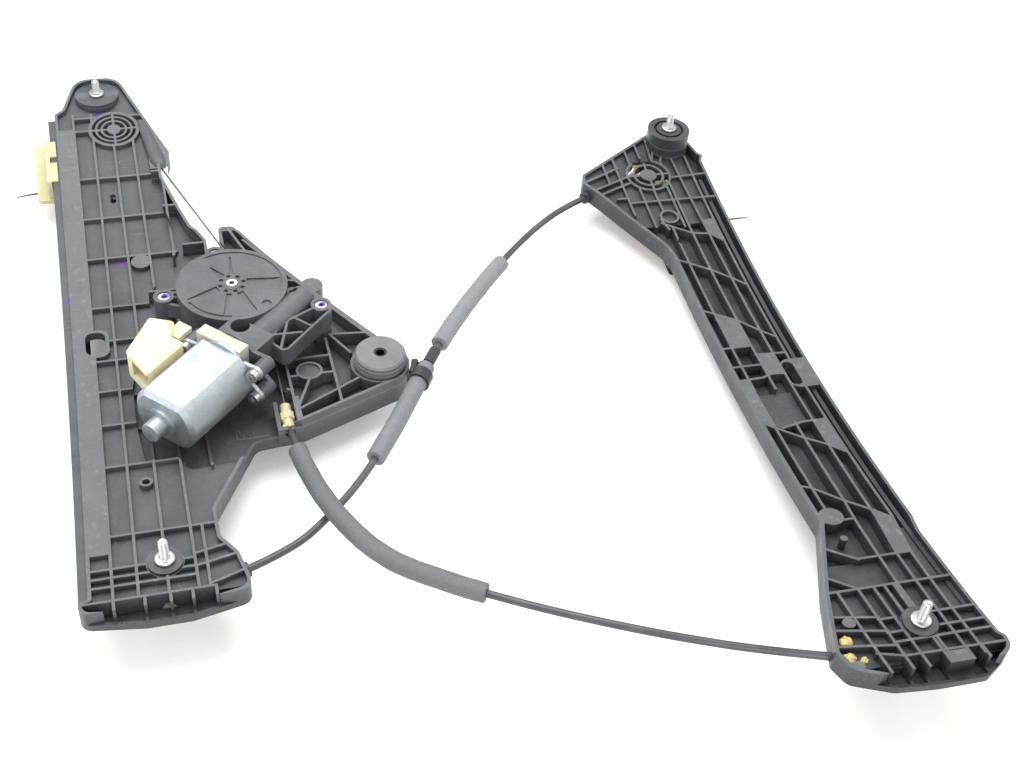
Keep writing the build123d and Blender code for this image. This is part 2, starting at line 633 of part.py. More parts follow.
def second_carrier():
    """Ribbed moulding that holds the second rail."""
    arc = SECOND_ARC_Y
    outline = second_outline()
    inner = offset(outline, -WALL)
    body = slab(outline, 0, -SKIRT, arc)
    boss_top = surface_z(SECOND_TOP_STUD[1], 0, arc) + SECOND_BOSS_RISE
    ribs = rib_plan(second_ribs())
    keep = [disc(SECOND_TOP_STUD, SECOND_BOSS_R), disc((0, 0), WASHER_R + 0.6)]
    keep += [disc(SECOND_PULLEY, 19), disc((-4, 435), 8), disc((-8, 101), 8), disc((-40, 9), 4)]
    keep += [disc((-9, 80), 2.4), disc((-51, -25), 4)]

    top = (inner & box_plan(-80, 31, 428, 560)) - ribs - keep
    body -= slab(top, 60, -SECOND_TOP_POCKET, arc)
    edge = (inner & box_plan(31, 60, 86, 560)) - ribs - keep
    window_rim = box_plan(20.5, 50, 230.5, 261.5, 9)
    edge -= window_rim
    body -= slab(edge, 60, -SECOND_WAIST_POCKET, arc)
    waist = (inner & box_plan(-80, 31, 61, 428)) - ribs - keep - window_rim
    panel = box_plan(-7, 20, 196, 231)
    body -= slab(waist - panel, 60, -SECOND_WAIST_POCKET, arc)
    body -= slab(panel & inner, 60, -SECOND_FOOT_POCKET, arc)
    foot = (inner & box_plan(-80, 60, -25, 61)) - ribs - keep
    foot += (inner & box_plan(31, 60, 61, 86)) - ribs
    body -= slab(foot, 60, -SECOND_FOOT_POCKET, arc)
    front = (inner & box_plan(-80, 60, -60, -25)) - ribs - keep
    front -= rib_plan([[(x, -24), (x, -44)] for x in (-35, -21.5, -11.5, 2, 16, 26)])
    body -= slab(front, 60, -SKIRT + 2, arc)
    body -= slab(box_plan(-80, 35, -60, -34), 60, -FOOT_DROP, arc)

    hollow = offset(outline, -WALL * 1.2)
    hollow -= rib_plan([[(17.4, 20), (17.4, 470)], [(-10, 100), (-10, 395)]])
    hollow -= [disc(SECOND_TOP_STUD, 8), box_plan(-80, 60, -60, -26)]
    top_back = hollow & box_plan(-80, 60, 428 + RIB, 560)
    body -= slab(top_back, -SECOND_TOP_POCKET - FLOOR, -60, arc)
    waist_back = hollow & box_plan(-80, 60, 61 - RIB, 428 + RIB)
    body -= slab(waist_back, -SECOND_WAIST_POCKET - 1.6, -60, arc)
    body -= slab(hollow & box_plan(-80, 60, -26, 61 - RIB), -SECOND_FOOT_POCKET - FLOOR, -60, arc)

    high = SECOND_SLIDER_Y + SLIDER_LENGTH + 10
    body += slide_rail(SECOND_RAIL_X, high, SECOND_TOP_POCKET, arc)
    body += post(SECOND_TOP_STUD, SECOND_BOSS_R, surface_z(520, -5, arc), boss_top)
    groove = ring(SECOND_TOP_STUD, 12.4, 10.2, boss_top - 3, boss_top + 1)
    body -= groove
    body -= post(SECOND_TOP_STUD, STUD_R, boss_top - STUD_ROOT, boss_top + 1)
    body += post((0, 0), WASHER_R + 0.6, -8, 0)
    body -= post((0, 0), WASHER_R + 1.0, 0, 20)
    body -= post((0, 0), STUD_R, -STUD_ROOT, 1)
    through = [box_plan(22.5, 31, 233.5, 258.5, 4), disc((-3, 405), 3.5)]
    through += [box_plan(-16.5, 0.5, 500.5, 506)]
    through.append(pulley_grille(SECOND_PULLEY, [(6.8, 11.2), (13.2, 17.0)], RIB))
    for opening in through:
        body -= extrude(Pos(0, 0, -90) * opening, 160)
    body -= post((-4, 435), 6, surface_z(435, -3, arc), 40)
    body = fit_pulley(body, second_pulley_frame(), 9)
    body = fit_guide(body, second_guide_frame(), 6)
    for ends in ((CONDUIT_A[-1], CONDUIT_A[-2]), (CONDUIT_B[-1], CONDUIT_B[-2])):
        body = add_socket(body, *[to_second(point) for point in ends])
    return body


def to_second(point):
    """A point of the shared frame, given in the second carrier's frame."""
    moved = second_frame().inverse() * Pos(*point)
    return tuple(moved.position)


# Studs, washers, pulleys and cable guides

def stud(seat_z, length):
    """Threaded stud with a round flange, seated at a height."""
    shape = post((0, 0), STUD_R, seat_z - STUD_ROOT, seat_z + length)
    shape = chamfer(shape.faces().sort_by(Axis.Z)[-1].edges(), 0.8)
    return shape + post((0, 0), STUD_FLANGE_R, seat_z, seat_z + STUD_FLANGE)


def mounting_studs():
    """The four studs that hold the regulator in the door."""
    upper = SECOND_BOSS_RISE + surface_z(SECOND_TOP_STUD[1], 0, SECOND_ARC_Y)
    studs = [
        stud(WASHER, STUD_LENGTH - WASHER),
        Pos(*DRIVE_TOP_STUD) * stud(DRIVE_TOP_SEAT, UPPER_STUD_LENGTH),
        second_frame() * stud(WASHER, STUD_LENGTH - WASHER),
        second_frame() * (Pos(*SECOND_TOP_STUD) * stud(upper, UPPER_STUD_LENGTH)),
    ]
    return Compound(children=studs)


def stud_washers():
    """Rubber washers under the two lower stud flanges."""
    washer = ring((0, 0), WASHER_R, STUD_R, 0, WASHER)
    return Compound(children=[washer, second_frame() * (Pos(0, 0, 0) * washer)])


def pulley():
    """Grooved cable pulley about Z, its groove at z = 0."""
    half = PULLEY_WIDTH / 2
    rim = PULLEY_R + PULLEY_RIM
    root = PULLEY_R - CABLE_D / 2 - CABLE_CLEAR
    profile = Polyline(
        (PIN_R + RUNNING, -half), (rim, -half), (root, -0.75), (root, 0.75), (rim, half),
        (PIN_R + RUNNING, half), (PIN_R + RUNNING, -half),
    )
    wheel = revolve(make_face(Plane.XZ * profile), Axis.Z)
    relief = ring((0, 0), 13, 7, half - 1.2, half + 1)
    return wheel - relief - mirror(relief, Plane.XY)


def pulley_pin(grip):
    """Headed pin that a pulley turns on; grip is its length above the pulley."""
    half = PULLEY_WIDTH / 2
    shape = post((0, 0), PIN_R, -half - 0.2, half + 0.2)
    shape += post((0, 0), PIN_R - 1.0, half, half + grip)
    return shape + post((0, 0), PIN_R + 1.6, -half - 1.3, -half - 0.2)


def cable_guide():
    """Fixed round guide that turns a cable at the foot of a rail."""
    half = PULLEY_WIDTH / 2
    rim = GUIDE_R + PULLEY_RIM
    root = GUIDE_R - CABLE_D / 2 - CABLE_CLEAR
    profile = Polyline(
        (0, -half), (rim, -half), (root, -0.85), (root, 0.85), (rim, half), (0, half), (0, -half),
    )
    shape = revolve(make_face(Plane.XZ * profile), Axis.Z)
    return shape - post((0, 0), PEG_R, -half - 1, half + 1)


def drive_guide_frame():
    """Place of the drive rail's lower guide."""
    x, y = DRIVE_GUIDE
    tilt = math.degrees(math.asin((y - DRIVE_ARC_Y) / RAIL_RADIUS)) / 2
    return Location((x, y, surface_z(y, -DRIVE_CABLE, DRIVE_ARC_Y)), (tilt, 0, 0))


def second_guide_frame():
    """Place of the second rail's lower guide, in the second carrier's frame."""
    x, y = SECOND_GUIDE
    tilt = math.degrees(math.asin((y - SECOND_ARC_Y) / RAIL_RADIUS)) / 2
    return Location((x, y, surface_z(y, -SECOND_CABLE, SECOND_ARC_Y)), (tilt, 0, 0))


# Sliders and glass clamps. Each works on one rail and turns with it about the rail's axis.

def slider_block(rail_x, side, end_x, far_x, wire_x, y0, arc):
    """Slider moulding; side is +1 where the glass clamp lies on the +X side of the rail."""
    y1 = y0 + SLIDER_LENGTH
    low = SLIDER_TOP + SLIDER_PLATE
    shoe = box_plan(rail_x - SHOE / 2, rail_x + SHOE / 2, y0, y1)
    plate = box_plan(min(end_x, far_x), max(end_x, far_x), y0 + 4, y1 - 6, 4)
    body = slab(shoe, -SLIDER_TOP, -SHOE_BOTTOM, arc)
    body += slab(plate, -SLIDER_TOP, -low, arc)
    web = box_plan(rail_x - RAIL_WEB / 2 - RAIL_GAP, rail_x + RAIL_WEB / 2 + RAIL_GAP, 0, 520)
    head = box_plan(rail_x - RAIL_HEAD / 2 - RAIL_GAP, rail_x + RAIL_HEAD / 2 + RAIL_GAP, 0, 520)
    root_x, tip_x = clamp_span(rail_x, side)
    block = box_plan(min(root_x, tip_x), max(root_x, tip_x), y0 + 6, y0 + 60)
    body += slab(block, -low, -(SHOE_BOTTOM - PAD), arc)
    pockets = box_plan(min(root_x, tip_x) + 9.5, max(root_x, tip_x) - 9.5, y0 + 10, y0 + 44)
    body -= slab(pockets, -SLIDER_TOP - 5, -60, arc)
    body -= slab(web, 0, -RAIL_HEAD_TOP, arc)
    body -= slab(head, -RAIL_HEAD_TOP + RAIL_GAP, -RAIL_HEAD_BOTTOM - RAIL_GAP, arc)
    cable = DRIVE_CABLE if side > 0 else SECOND_CABLE
    cheek = box_plan(wire_x - 4, wire_x + 4, y0 + 14, y0 + 38)
    body += slab(cheek, -cable + 1.6, -SLIDER_TOP, arc)
    groove = box_plan(wire_x - 1.2, wire_x + 1.2, y0, y1)
    body -= slab(groove, 0, -cable - 1.4, arc)
    return body - screw_frame(rail_x, side, y0, arc) * post((0, 0), CLAMP_SCREW_R + 0.05, -30, 20)


def clamp_span(rail_x, side):
    """Reach of the glass clamp across the rail, from the shoe outward."""
    return rail_x + side * SHOE / 2, rail_x + side * 47.0


def screw_frame(rail_x, side, y0, arc):
    """Place of the clamp screw, square to the rail and in line with the access window."""
    x, y = rail_x + side * 14.0, y0 + 50
    lean = math.degrees(math.asin((y - arc) / RAIL_RADIUS))
    return Location((x, y, surface_z(y, -SLIDER_TOP, arc)), (lean, 0, 0))


def drive_slider():
    """Slider of the drive rail, with lips that hook round the carrier's edge flange."""
    y0 = DRIVE_SLIDER_Y
    body = slider_block(DRIVE_RAIL_X, 1, -63.6, 14.0, -DRIVE_WIRE_X, y0, DRIVE_ARC_Y)
    cheek = box_plan(-54.5, -51.3, y0 + 6, y0 + 54)
    body += slab(cheek, -0.4, -SLIDER_TOP - 1, DRIVE_ARC_Y)
    for start, length in ((7, 21), (35, 17)):
        lip = box_plan(-54.5, -46.2, y0 + start, y0 + start + length)
        body += slab(lip, -0.2, -FLANGE_TOP + 0.3, DRIVE_ARC_Y)
    return body


def second_slider():
    """Slider of the second rail."""
    body = slider_block(
        SECOND_RAIL_X, -1, -31.0, 47.0, SECOND_PULLEY[0] + PULLEY_R, SECOND_SLIDER_Y, SECOND_ARC_Y
    )
    return second_frame() * body


def clamp_jaw(rail_x, side, y0, arc):
    """Loose jaw that grips the glass against the slider."""
    ends = sorted(clamp_span(rail_x, side))
    upper = SHOE_BOTTOM - PAD
    lower = SHOE_BOTTOM + GLASS_GAP
    body = slab(box_plan(ends[0], ends[1], y0 + 6, y0 + 60, 2), -lower, -lower - JAW, arc)
    body += slab(box_plan(ends[0] + 2, ends[1] - 2, y0 + 6, y0 + 10), -upper, -lower, arc)
    return body - screw_frame(rail_x, side, y0, arc) * post((0, 0), CLAMP_SCREW_R, -30, 20)


def clamp_pads(rail_x, side, y0, arc):
    """Rubber pads on both faces of the glass slot."""
    ends = sorted(clamp_span(rail_x, side))
    sheet = box_plan(ends[0] + 1, ends[1] - 1, y0 + 11, y0 + 59)
    window = box_plan(ends[0] + 9.5, ends[1] - 9.5, y0 + 10, y0 + 44)
    upper = slab(sheet - window, -SHOE_BOTTOM + PAD, -SHOE_BOTTOM, arc)
    lower_z = SHOE_BOTTOM + GLASS_GAP
    lower = slab(sheet, -lower_z + PAD, -lower_z, arc)
    hole = screw_frame(rail_x, side, y0, arc) * post((0, 0), CLAMP_SCREW_R + 0.6, -30, 20)
    return Compound(children=[upper - hole, lower - hole])


def clamp_screw(rail_x, side, y0, arc):
    """Screw that closes a clamp, its head facing the carrier's access window."""
    length = SHOE_BOTTOM + GLASS_GAP + JAW - SLIDER_TOP + 1.5
    shape = post((0, 0), CLAMP_SCREW_R, -length, 0.1)
    shape += post((0, 0), 4.6, 0.1, 1.1)
    head = extrude(Pos(0, 0, 1.1) * RegularPolygon(4.0, 6), 2.6)
    shape += head
    shape -= post((0, 0), 1.6, 2.2, 5)
    return screw_frame(rail_x, side, y0, arc) * shape


def spring_strip(x0, x1, y, arc):
    """Thin leaf spring under a slider's outer end."""
    low = SLIDER_TOP + SLIDER_PLATE
    return slab(box_plan(x0, x1, y - 3, y + 3), -low, -low - 0.6, arc)


def cable_ferrules():
    """Crimped cable ends that sit in the two sliders' grooves."""
    drive = nipple(-DRIVE_WIRE_X, DRIVE_SLIDER_Y + 26, DRIVE_CABLE, DRIVE_ARC_Y)
    second = nipple(SECOND_PULLEY[0] + PULLEY_R, SECOND_SLIDER_Y + 26, SECOND_CABLE, SECOND_ARC_Y)
    return drive, second_frame() * second


def nipple(x, y, depth, arc):
    """Pressed saddle below the cable, between the slider's cheeks."""
    saddle = box_plan(x - 1.2, x + 1.2, y - 9, y + 9)
    return slab(saddle, -depth - 0.95, -depth - 1.4, arc)


# Cable drum, worm wheel and their pin

def cable_drum():
    """Grooved drum that winds both drive cables."""
    bottom = DRUM_TOP - DRUM_WIDTH
    rim = DRUM_R + DRUM_RIM
    root = DRUM_R - CABLE_D / 2 - 0.35
    land = DRUM_R + 0.9
    pitch = DRUM_PITCH
    points = [(HUB_PIN_R + RUNNING, bottom), (rim, bottom), (rim, bottom + 1.0)]
    for index in range(DRUM_GROOVES):
        z = LOWER_GROOVE_Z + index * pitch
        half = CABLE_D / 2 + 0.2
        points += [(land, z - half), (root, z - half), (root, z + half), (land, z + half)]
    points += [(rim, DRUM_TOP - 0.8), (rim, DRUM_TOP)]
    points += [(DRUM_HUB_R, DRUM_TOP), (DRUM_HUB_R, WHEEL_BOTTOM)]
    points += [(HUB_PIN_R + RUNNING, WHEEL_BOTTOM), (HUB_PIN_R + RUNNING, bottom)]
    drum = revolve(make_face(Plane.XZ * Polyline(*points)), Axis.Z)
    under = ring((0, 0), 17.5, 8.5, bottom - 1, bottom + 5)
    for turn in range(0, 360, 60):
        spoke = Location((0, 0, 0), (0, 0, turn)) * strip((7, 0), (19, 0), 2.2)
        under -= extrude(Pos(0, 0, bottom - 2) * spoke, 10)
    drum -= under
    return Pos(*DRUM_CENTRE) * drum


def worm_wheel():
    """Wheel driven by the worm, with a damped web between rim and hub."""
    root = WHEEL_R - TOOTH
    blank = Circle(root)
    for index in range(WHEEL_TEETH):
        turn = index * 360 / WHEEL_TEETH
        tooth = make_face(Polyline(
            (root - 0.3, -0.95), (WHEEL_R, -0.45), (WHEEL_R, 0.45), (root - 0.3, 0.95),
            (root - 0.3, -0.95),
        ))
        blank += Location((0, 0, 0), (0, 0, turn)) * tooth
    wheel = extrude(Pos(0, 0, WHEEL_BOTTOM + 1) * blank, WHEEL_TOP - WHEEL_BOTTOM - 1)
    wheel += post((0, 0), 9, WHEEL_BOTTOM, WHEEL_TOP)
    wheel -= ring((0, 0), 29, 11, WHEEL_TOP - 3.5, WHEEL_TOP + 1)
    wheel -= ring((0, 0), 29, 11, WHEEL_BOTTOM, WHEEL_BOTTOM + 3.5)
    wheel -= post((0, 0), HUB_PIN_R + RUNNING, WHEEL_BOTTOM - 1, WHEEL_TOP + 1)
    for turn in range(0, 360, 90):
        spot = (20 * math.cos(math.radians(turn)), 20 * math.sin(math.radians(turn)))
        wheel -= post(spot, 3.2, WHEEL_BOTTOM - 1, WHEEL_TOP + 1)
    return Pos(*DRUM_CENTRE) * wheel


def hub_pin():
    """Hollow pin that carries drum and wheel, pressed into the carrier."""
    pin = post((0, 0), HUB_PIN_R, HUB_PIN_FOOT, HOUSING_TOP + 1.0)
    pin -= post((0, 0), HUB_PIN_BORE, HOUSING_TOP - 8, HOUSING_TOP + 2)
    return Pos(*DRUM_CENTRE) * pin


# Gear housing, with X along the motor shaft in the motor's own frame

def lobe_plate():
    """Plan across the shaft of the motor flange: one round body and three lugs."""
    body = Circle(CAN_R - 2.5)
    for y, z in FLANGE_SCREWS:
        body += Pos(y, z) * Circle(5.2)
        body += make_face(FilletPolyline(*lug_sides(y, z), radius=0.5, close=True))
    return body & (Pos(2, 2.5) * Rectangle(78, 38))


def lug_sides(y, z):
    """Tangent sides that join one flange lug to the round body."""
    reach = math.hypot(y, z)
    ux, uz = y / reach, z / reach
    nx, nz = -uz, ux
    wide, narrow = 14.0, 5.2
    return [
        (nx * wide, nz * wide), (y + nx * narrow, z + nz * narrow),
        (y - nx * narrow, z - nz * narrow), (-nx * wide, -nz * wide),
    ]


def across(x, face, depth):
    """Extrudes a plan drawn across the shaft (its x is y, its y is z)."""
    plane = Plane(origin=(x, 0, 0), x_dir=(0, 1, 0), z_dir=(1, 0, 0))
    return extrude(plane * face, depth)


def shaft_rod(x0, x1, radius, y=0.0, z=0.0):
    """Round bar along the shaft direction."""
    return across(x0, Pos(y, z) * Circle(radius), x1 - x0)


def disc_cover(top):
    """Raised pattern of the housing's round cover."""
    cuts = ring((0, 0), HOUSING_R - 3.2, HOUSING_R - 5.0, top - 0.9, top + 1)
    cuts -= extrude(Pos(-20, 8, top - 3) * Rectangle(46, 46), 6)
    cuts -= extrude(Pos(16, -22, top - 3) * Rectangle(40, 26), 6)
    for turn, reach, width in COVER_WEDGES:
        wedge = make_face(Polyline(
            (10.5, -width / 2), (reach, -0.4), (reach, 0.4), (10.5, width / 2), (10.5, -width / 2),
        ))
        cuts += extrude(Location((0, 0, top - 1.3), (0, 0, turn)) * wedge, 3)
    for turn in range(10, 370, 45):
        notch = Location((0, 0, top - 1.6), (0, 0, turn)) * (Pos(8.4, 0) * Rectangle(2.6, 3.0))
        cuts += extrude(notch, 3)
    return cuts


def gear_housing():
    """Moulded housing over the worm wheel, with the worm tube and three ears."""
    base = HOUSING_BASE
    shell = post(DRUM_CENTRE, HOUSING_R, base, HOUSING_TOP)
    for ear in EARS:
        shell += post(ear, EAR_R, EAR_SEAT, EAR_TOP)
    arms = [strip(DRUM_CENTRE, EARS[0], 9), strip(DRUM_CENTRE, EARS[1], 2.4)]
    upper = (EARS[1][0], EARS[1][1] + 4.5)
    arms += [strip((DRUM_CENTRE[0], DRUM_CENTRE[1] + 8), upper, 2.4)]
    arms += [strip((DRUM_CENTRE[0] - 15, DRUM_CENTRE[1] - 20), (EARS[1][0], EARS[1][1] - 5), 2.4)]
    for arm in arms:
        shell += extrude(Pos(0, 0, base) * arm, EAR_TOP - 2 - base)

    # Braced arm out to the third ear
    rim = plan((84, 172, 0), (92.5, 160.5, 2), (97, 161, 2), (132, 196, 4), (133.5, 205, 4),
               (124, 212, 2), (100, 212, 0), (96, 190, 0))
    cells = offset(rim, -RIB)
    cells -= rib_plan([[(82, 178), (108, 177)], [(91, 160), (108, 214)], [(96, 188), (127, 204)],
                       [(100, 198), (118, 180)]])
    arm = extrude(Pos(0, 0, base) * rim, EAR_TOP - base)
    arm -= extrude(Pos(0, 0, base + 2) * cells, 30)
    shell += arm
    shell += post(BORE_BOSS, 6.0, base, HOUSING_TOP - 4)
    shell += extrude(Pos(0, 0, base) * strip(BORE_BOSS, (97, 222), 9), HOUSING_TOP - 5 - base)

    # Worm tube and the neck toward the motor
    worm = shaft_rod(-50, WORM_LENGTH, WORM_R + 3.0)
    neck = across(HOLDER_END, Pos(3, 1.2) * Rectangle(34, 17), 26)
    lobes = across(HOLDER_END, lobe_plate(), 3.0)
    shell += motor_frame() * (worm + neck + lobes)
    for y, z in FLANGE_SCREWS:
        shell += motor_frame() * shaft_rod(CAN_FRONT + FLANGE, HOLDER_END + 1, 5.2, y, z)

    cavity = post(DRUM_CENTRE, HOUSING_R - HOUSING_WALL, base - 1, HOUSING_TOP - COVER)
    shell -= cavity
    shell -= motor_frame() * shaft_rod(-16, WORM_LENGTH - 2, WORM_R + 0.6)
    shell -= motor_frame() * shaft_rod(-60, -16, SHAFT_R + 0.5)
    shell -= motor_frame() * shaft_rod(HOLDER_END - 1, HOLDER_END + 4, 9.5)
    shell -= Pos(*DRUM_CENTRE) * disc_cover(HOUSING_TOP)
    shell += post(DRUM_CENTRE, 6.4, HOUSING_TOP - COVER, HOUSING_TOP + 0.4)
    shell -= post(DRUM_CENTRE, HUB_PIN_R, HOUSING_TOP - COVER - 1, 30)
    shell -= post((88.5, 205.2), 3.4, HOUSING_TOP - 1.4, 30)
    shell -= post(DRAIN_HOLE, DRAIN_R + 0.6, -20, 30)
    shell -= post(BORE_BOSS, 3.2, -20, 30)
    for ear in EARS:
        shell -= post(ear, EAR_SCREW_R + 0.3, EAR_SEAT - 1, EAR_TOP + 1)
        shell -= post(ear, 4.6, EAR_TOP - 3.4, EAR_TOP + 1)
    for y, z in FLANGE_SCREWS:
        shell -= motor_frame() * shaft_rod(CAN_FRONT, HOLDER_END + 2, FLANGE_SCREW_R, y, z)
    return shell


def gear_housing_base():
    """Plate that closes the housing over the drum."""
    top = HOUSING_BASE
    plate = post(DRUM_CENTRE, HOUSING_R, top - BASE_PLATE, top)
    for ear in EARS:
        plate -= post(ear, EAR_R + 0.4, top - 5, top + 1)
    plate -= post(DRUM_CENTRE, DRUM_HUB_R + 0.5, top - 5, top + 1)
    return plate - post(DRAIN_HOLE, DRAIN_R + 1.2, top - 5, top + 1)


def housing_screws():
    """Three screws through the housing's ears."""
    seat = EAR_TOP - 3.4
    screws = []
    for ear in EARS:
        shape = post(ear, EAR_SCREW_R, -21, seat + 0.1) + post(ear, 4.2, seat, seat + 2.6)
        screws.append(shape - post(ear, 1.8, seat + 1, seat + 4))
    return Compound(children=screws)


# Motor

def armature_shaft():
    """Shaft with the worm rolled on it."""
    shaft = shaft_rod(CAN_REAR - TAIL + 4, WORM_LENGTH - 5, SHAFT_R)
    for index in range(7):
        x = -11 + index * 3.6
        profile = Polyline(
            (x, 0), (x, WORM_R - 2.2), (x + 0.7, WORM_R), (x + 1.5, WORM_R), (x + 2.2, WORM_R - 2.2),
            (x + 3.6, WORM_R - 2.2), (x + 3.6, 0), (x, 0),
        )
        shaft += revolve(make_face(profile), Axis.X)
    return motor_frame() * shaft


def armature_core():
    """Slotted core with its windings."""
    core = Circle(CORE_R)
    for index in range(8):
        core -= Location((0, 0, 0), (0, 0, index * 45)) * (Pos(CORE_R - 2, 0) * Rectangle(6, 2.4))
    body = across(-112, core, 34)
    body += shaft_rod(-117, -112, 12) + shaft_rod(-78, -73, 12)
    return motor_frame() * (body - shaft_rod(-118, -72, SHAFT_R))


def commutator():
    """Copper commutator with its bars."""
    bars = Circle(COMMUTATOR_R)
    for index in range(8):
        bars -= Location((0, 0, 0), (0, 0, index * 45 + 22)) * (Pos(COMMUTATOR_R, 0) * Rectangle(1.6, 0.7))
    body = across(-69, bars, 13)
    return motor_frame() * (body - shaft_rod(-70, -55, SHAFT_R))


def motor_can():
    """Drawn steel can with two flats, a tail boss and the mounting flange."""
    section = Circle(CAN_R) & Rectangle(2 * CAN_R, 2 * CAN_HALF)
    bore = Circle(CAN_R - CAN_WALL) & Rectangle(60, 2 * (CAN_HALF - CAN_WALL))
    body = across(CAN_REAR, section, CAN_FRONT - CAN_REAR)
    body = chamfer(body.faces().sort_by(Axis.X)[0].edges(), 3.0)
    body -= across(CAN_REAR + CAN_WALL + 1.4, bore, 80)
    body += shaft_rod(CAN_REAR - 3, CAN_REAR + 1, 10.5)
    body += shaft_rod(CAN_REAR - TAIL, CAN_REAR, TAIL_R)
    plate = across(CAN_FRONT, lobe_plate(), FLANGE) - across(CAN_FRONT - 1, bore, 6)
    body += plate
    body -= shaft_rod(CAN_REAR - TAIL + 2.5, CAN_REAR + 6, BEARING_R)
    for y, z in FLANGE_SCREWS:
        body -= shaft_rod(CAN_FRONT - 2, CAN_FRONT + 5, FLANGE_SCREW_R + 0.3, y, z)
    return motor_frame() * body


def field_magnets():
    """Two arc magnets glued in the can."""
    outer = Circle(CAN_R - CAN_WALL) & Rectangle(60, 2 * (CAN_HALF - CAN_WALL))
    shell = outer - Circle(CORE_R + 1.2)
    magnets = []
    for side in (-1, 1):
        half = shell & (Pos(side * 16, 0) * Rectangle(18, 26))
        magnets.append(motor_frame() * across(-115, half, 40))
    return Compound(children=magnets)


def end_bearing():
    """Sintered bearing in the can's tail."""
    body = shaft_rod(CAN_REAR - TAIL + 2.5, CAN_REAR + 2, BEARING_R)
    body -= shaft_rod(CAN_REAR - TAIL + 1, CAN_REAR + 3, SHAFT_R + RUNNING)
    return motor_frame() * body


def worm_bush():
    """Bearing at the worm's far end."""
    body = shaft_rod(WORM_LENGTH - 10, WORM_LENGTH - 2, WORM_R + 0.6)
    return motor_frame() * (body - shaft_rod(WORM_LENGTH - 11, WORM_LENGTH - 3.5, SHAFT_R + RUNNING))


def brush_holder():
    """Brush carrier between the can and the housing."""
    outer = Pos(5, 3) * Rectangle(36, 33)
    body = across(CAN_FRONT + FLANGE, outer, HOLDER)
    body -= shaft_rod(CAN_FRONT - 1, -50, COMMUTATOR_R + 1.4)
    for y, z in FLANGE_SCREWS:
        body -= shaft_rod(CAN_FRONT - 1, -50, 5.5, y, z)
    for side in (-1, 1):
        gap = across(CAN_FRONT + FLANGE + 2, Pos(side * 12, 0) * Rectangle(14, 6), 6)
        body -= gap
    return motor_frame() * body


def carbon_brushes():
    """Two brushes that ride on the commutator."""
    brushes = []
    for side in (-1, 1):
        centre = side * (COMMUTATOR_R + 4.6)
        brush = across(CAN_FRONT + FLANGE + 2.3, Pos(centre, 0) * Rectangle(8.6, 5.4), 5.4)
        brush -= shaft_rod(-70, -50, COMMUTATOR_R + 0.3)
        brushes.append(motor_frame() * brush)
    return Compound(children=brushes)


def flange_screws():
    """Three screws that hold the can to the housing."""
    screws = []
    for y, z in FLANGE_SCREWS:
        shape = shaft_rod(CAN_FRONT - 0.1, HOLDER_END + 1.5, FLANGE_SCREW_R, y, z)
        shape += shaft_rod(CAN_FRONT - 4.2, CAN_FRONT, 4.4, y, z)
        screws.append(motor_frame() * (shape - shaft_rod(-70, CAN_FRONT - 2.2, 1.9, y, z)))
    return Compound(children=screws)


def connector_block():
    """Plug housing beside the motor, its socket facing the motor's tail."""
    outline = make_face(FilletPolyline(
        (-108, 25.5), (-99, 51), (-65, 61), (-58, 45), (-71, 37), (-71, 25.5), radius=2.5, close=True,
    ))
    body = extrude(Pos(0, 0, CONNECTOR_LOW) * outline, CONNECTOR_HIGH - CONNECTOR_LOW)
    middle = (CONNECTOR_HIGH + CONNECTOR_LOW) / 2
    body = chamfer(body.faces().sort_by(Axis.Z)[-1].edges(), 1.5)
    body -= Pos(*PLUG_CENTRE, middle) * (Rot(0, 0, PLUG_TURN) * Box(34, 16, 13))
    body += extrude(Pos(0, 0, -2) * box_plan(-66, -52, 35.5, 46), 12)
    return motor_frame() * body


def connector_pins():
    """Two blade terminals in the plug housing."""
    pins = []
    middle = (CONNECTOR_HIGH + CONNECTOR_LOW) / 2
    socket = Location((*PLUG_CENTRE, middle), (0, 0, PLUG_TURN))
    for side in (-1, 1):
        pins.append(motor_frame() * (socket * (Pos(10, side * 4, 0) * Box(14, 0.8, 3.0))))
    return Compound(children=pins)


# Rubber mount, adjuster, conduits, sleeves and cables

def rubber_mount():
    """Ribbed round rubber mount on the carrier's wing."""
    top = MOUNT_SEAT + MOUNT_HEIGHT
    points = [(SLEEVE_R, MOUNT_SEAT), (MOUNT_R - 1, MOUNT_SEAT)]
    for step in (2.2, 5.4):
        z = MOUNT_SEAT + step
        points += [(MOUNT_R - 1, z), (MOUNT_R, z + 0.4), (MOUNT_R, z + 1.8), (MOUNT_R - 1.4, z + 2.2)]
    points += [(MOUNT_R - 0.4, top - 2.4), (MOUNT_R - 0.4, top - 1.4), (MOUNT_R - 1.6, top)]
    points += [(SLEEVE_R, top), (SLEEVE_R, MOUNT_SEAT)]
    return Pos(*MOUNT) * revolve(make_face(Plane.XZ * Polyline(*points)), Axis.Z)


def mount_sleeve():
    """Steel sleeve through the rubber mount."""
    top = MOUNT_SEAT + MOUNT_HEIGHT
    return ring(MOUNT, SLEEVE_R, MOUNT_BORE_R, -27.0, top - 0.4)


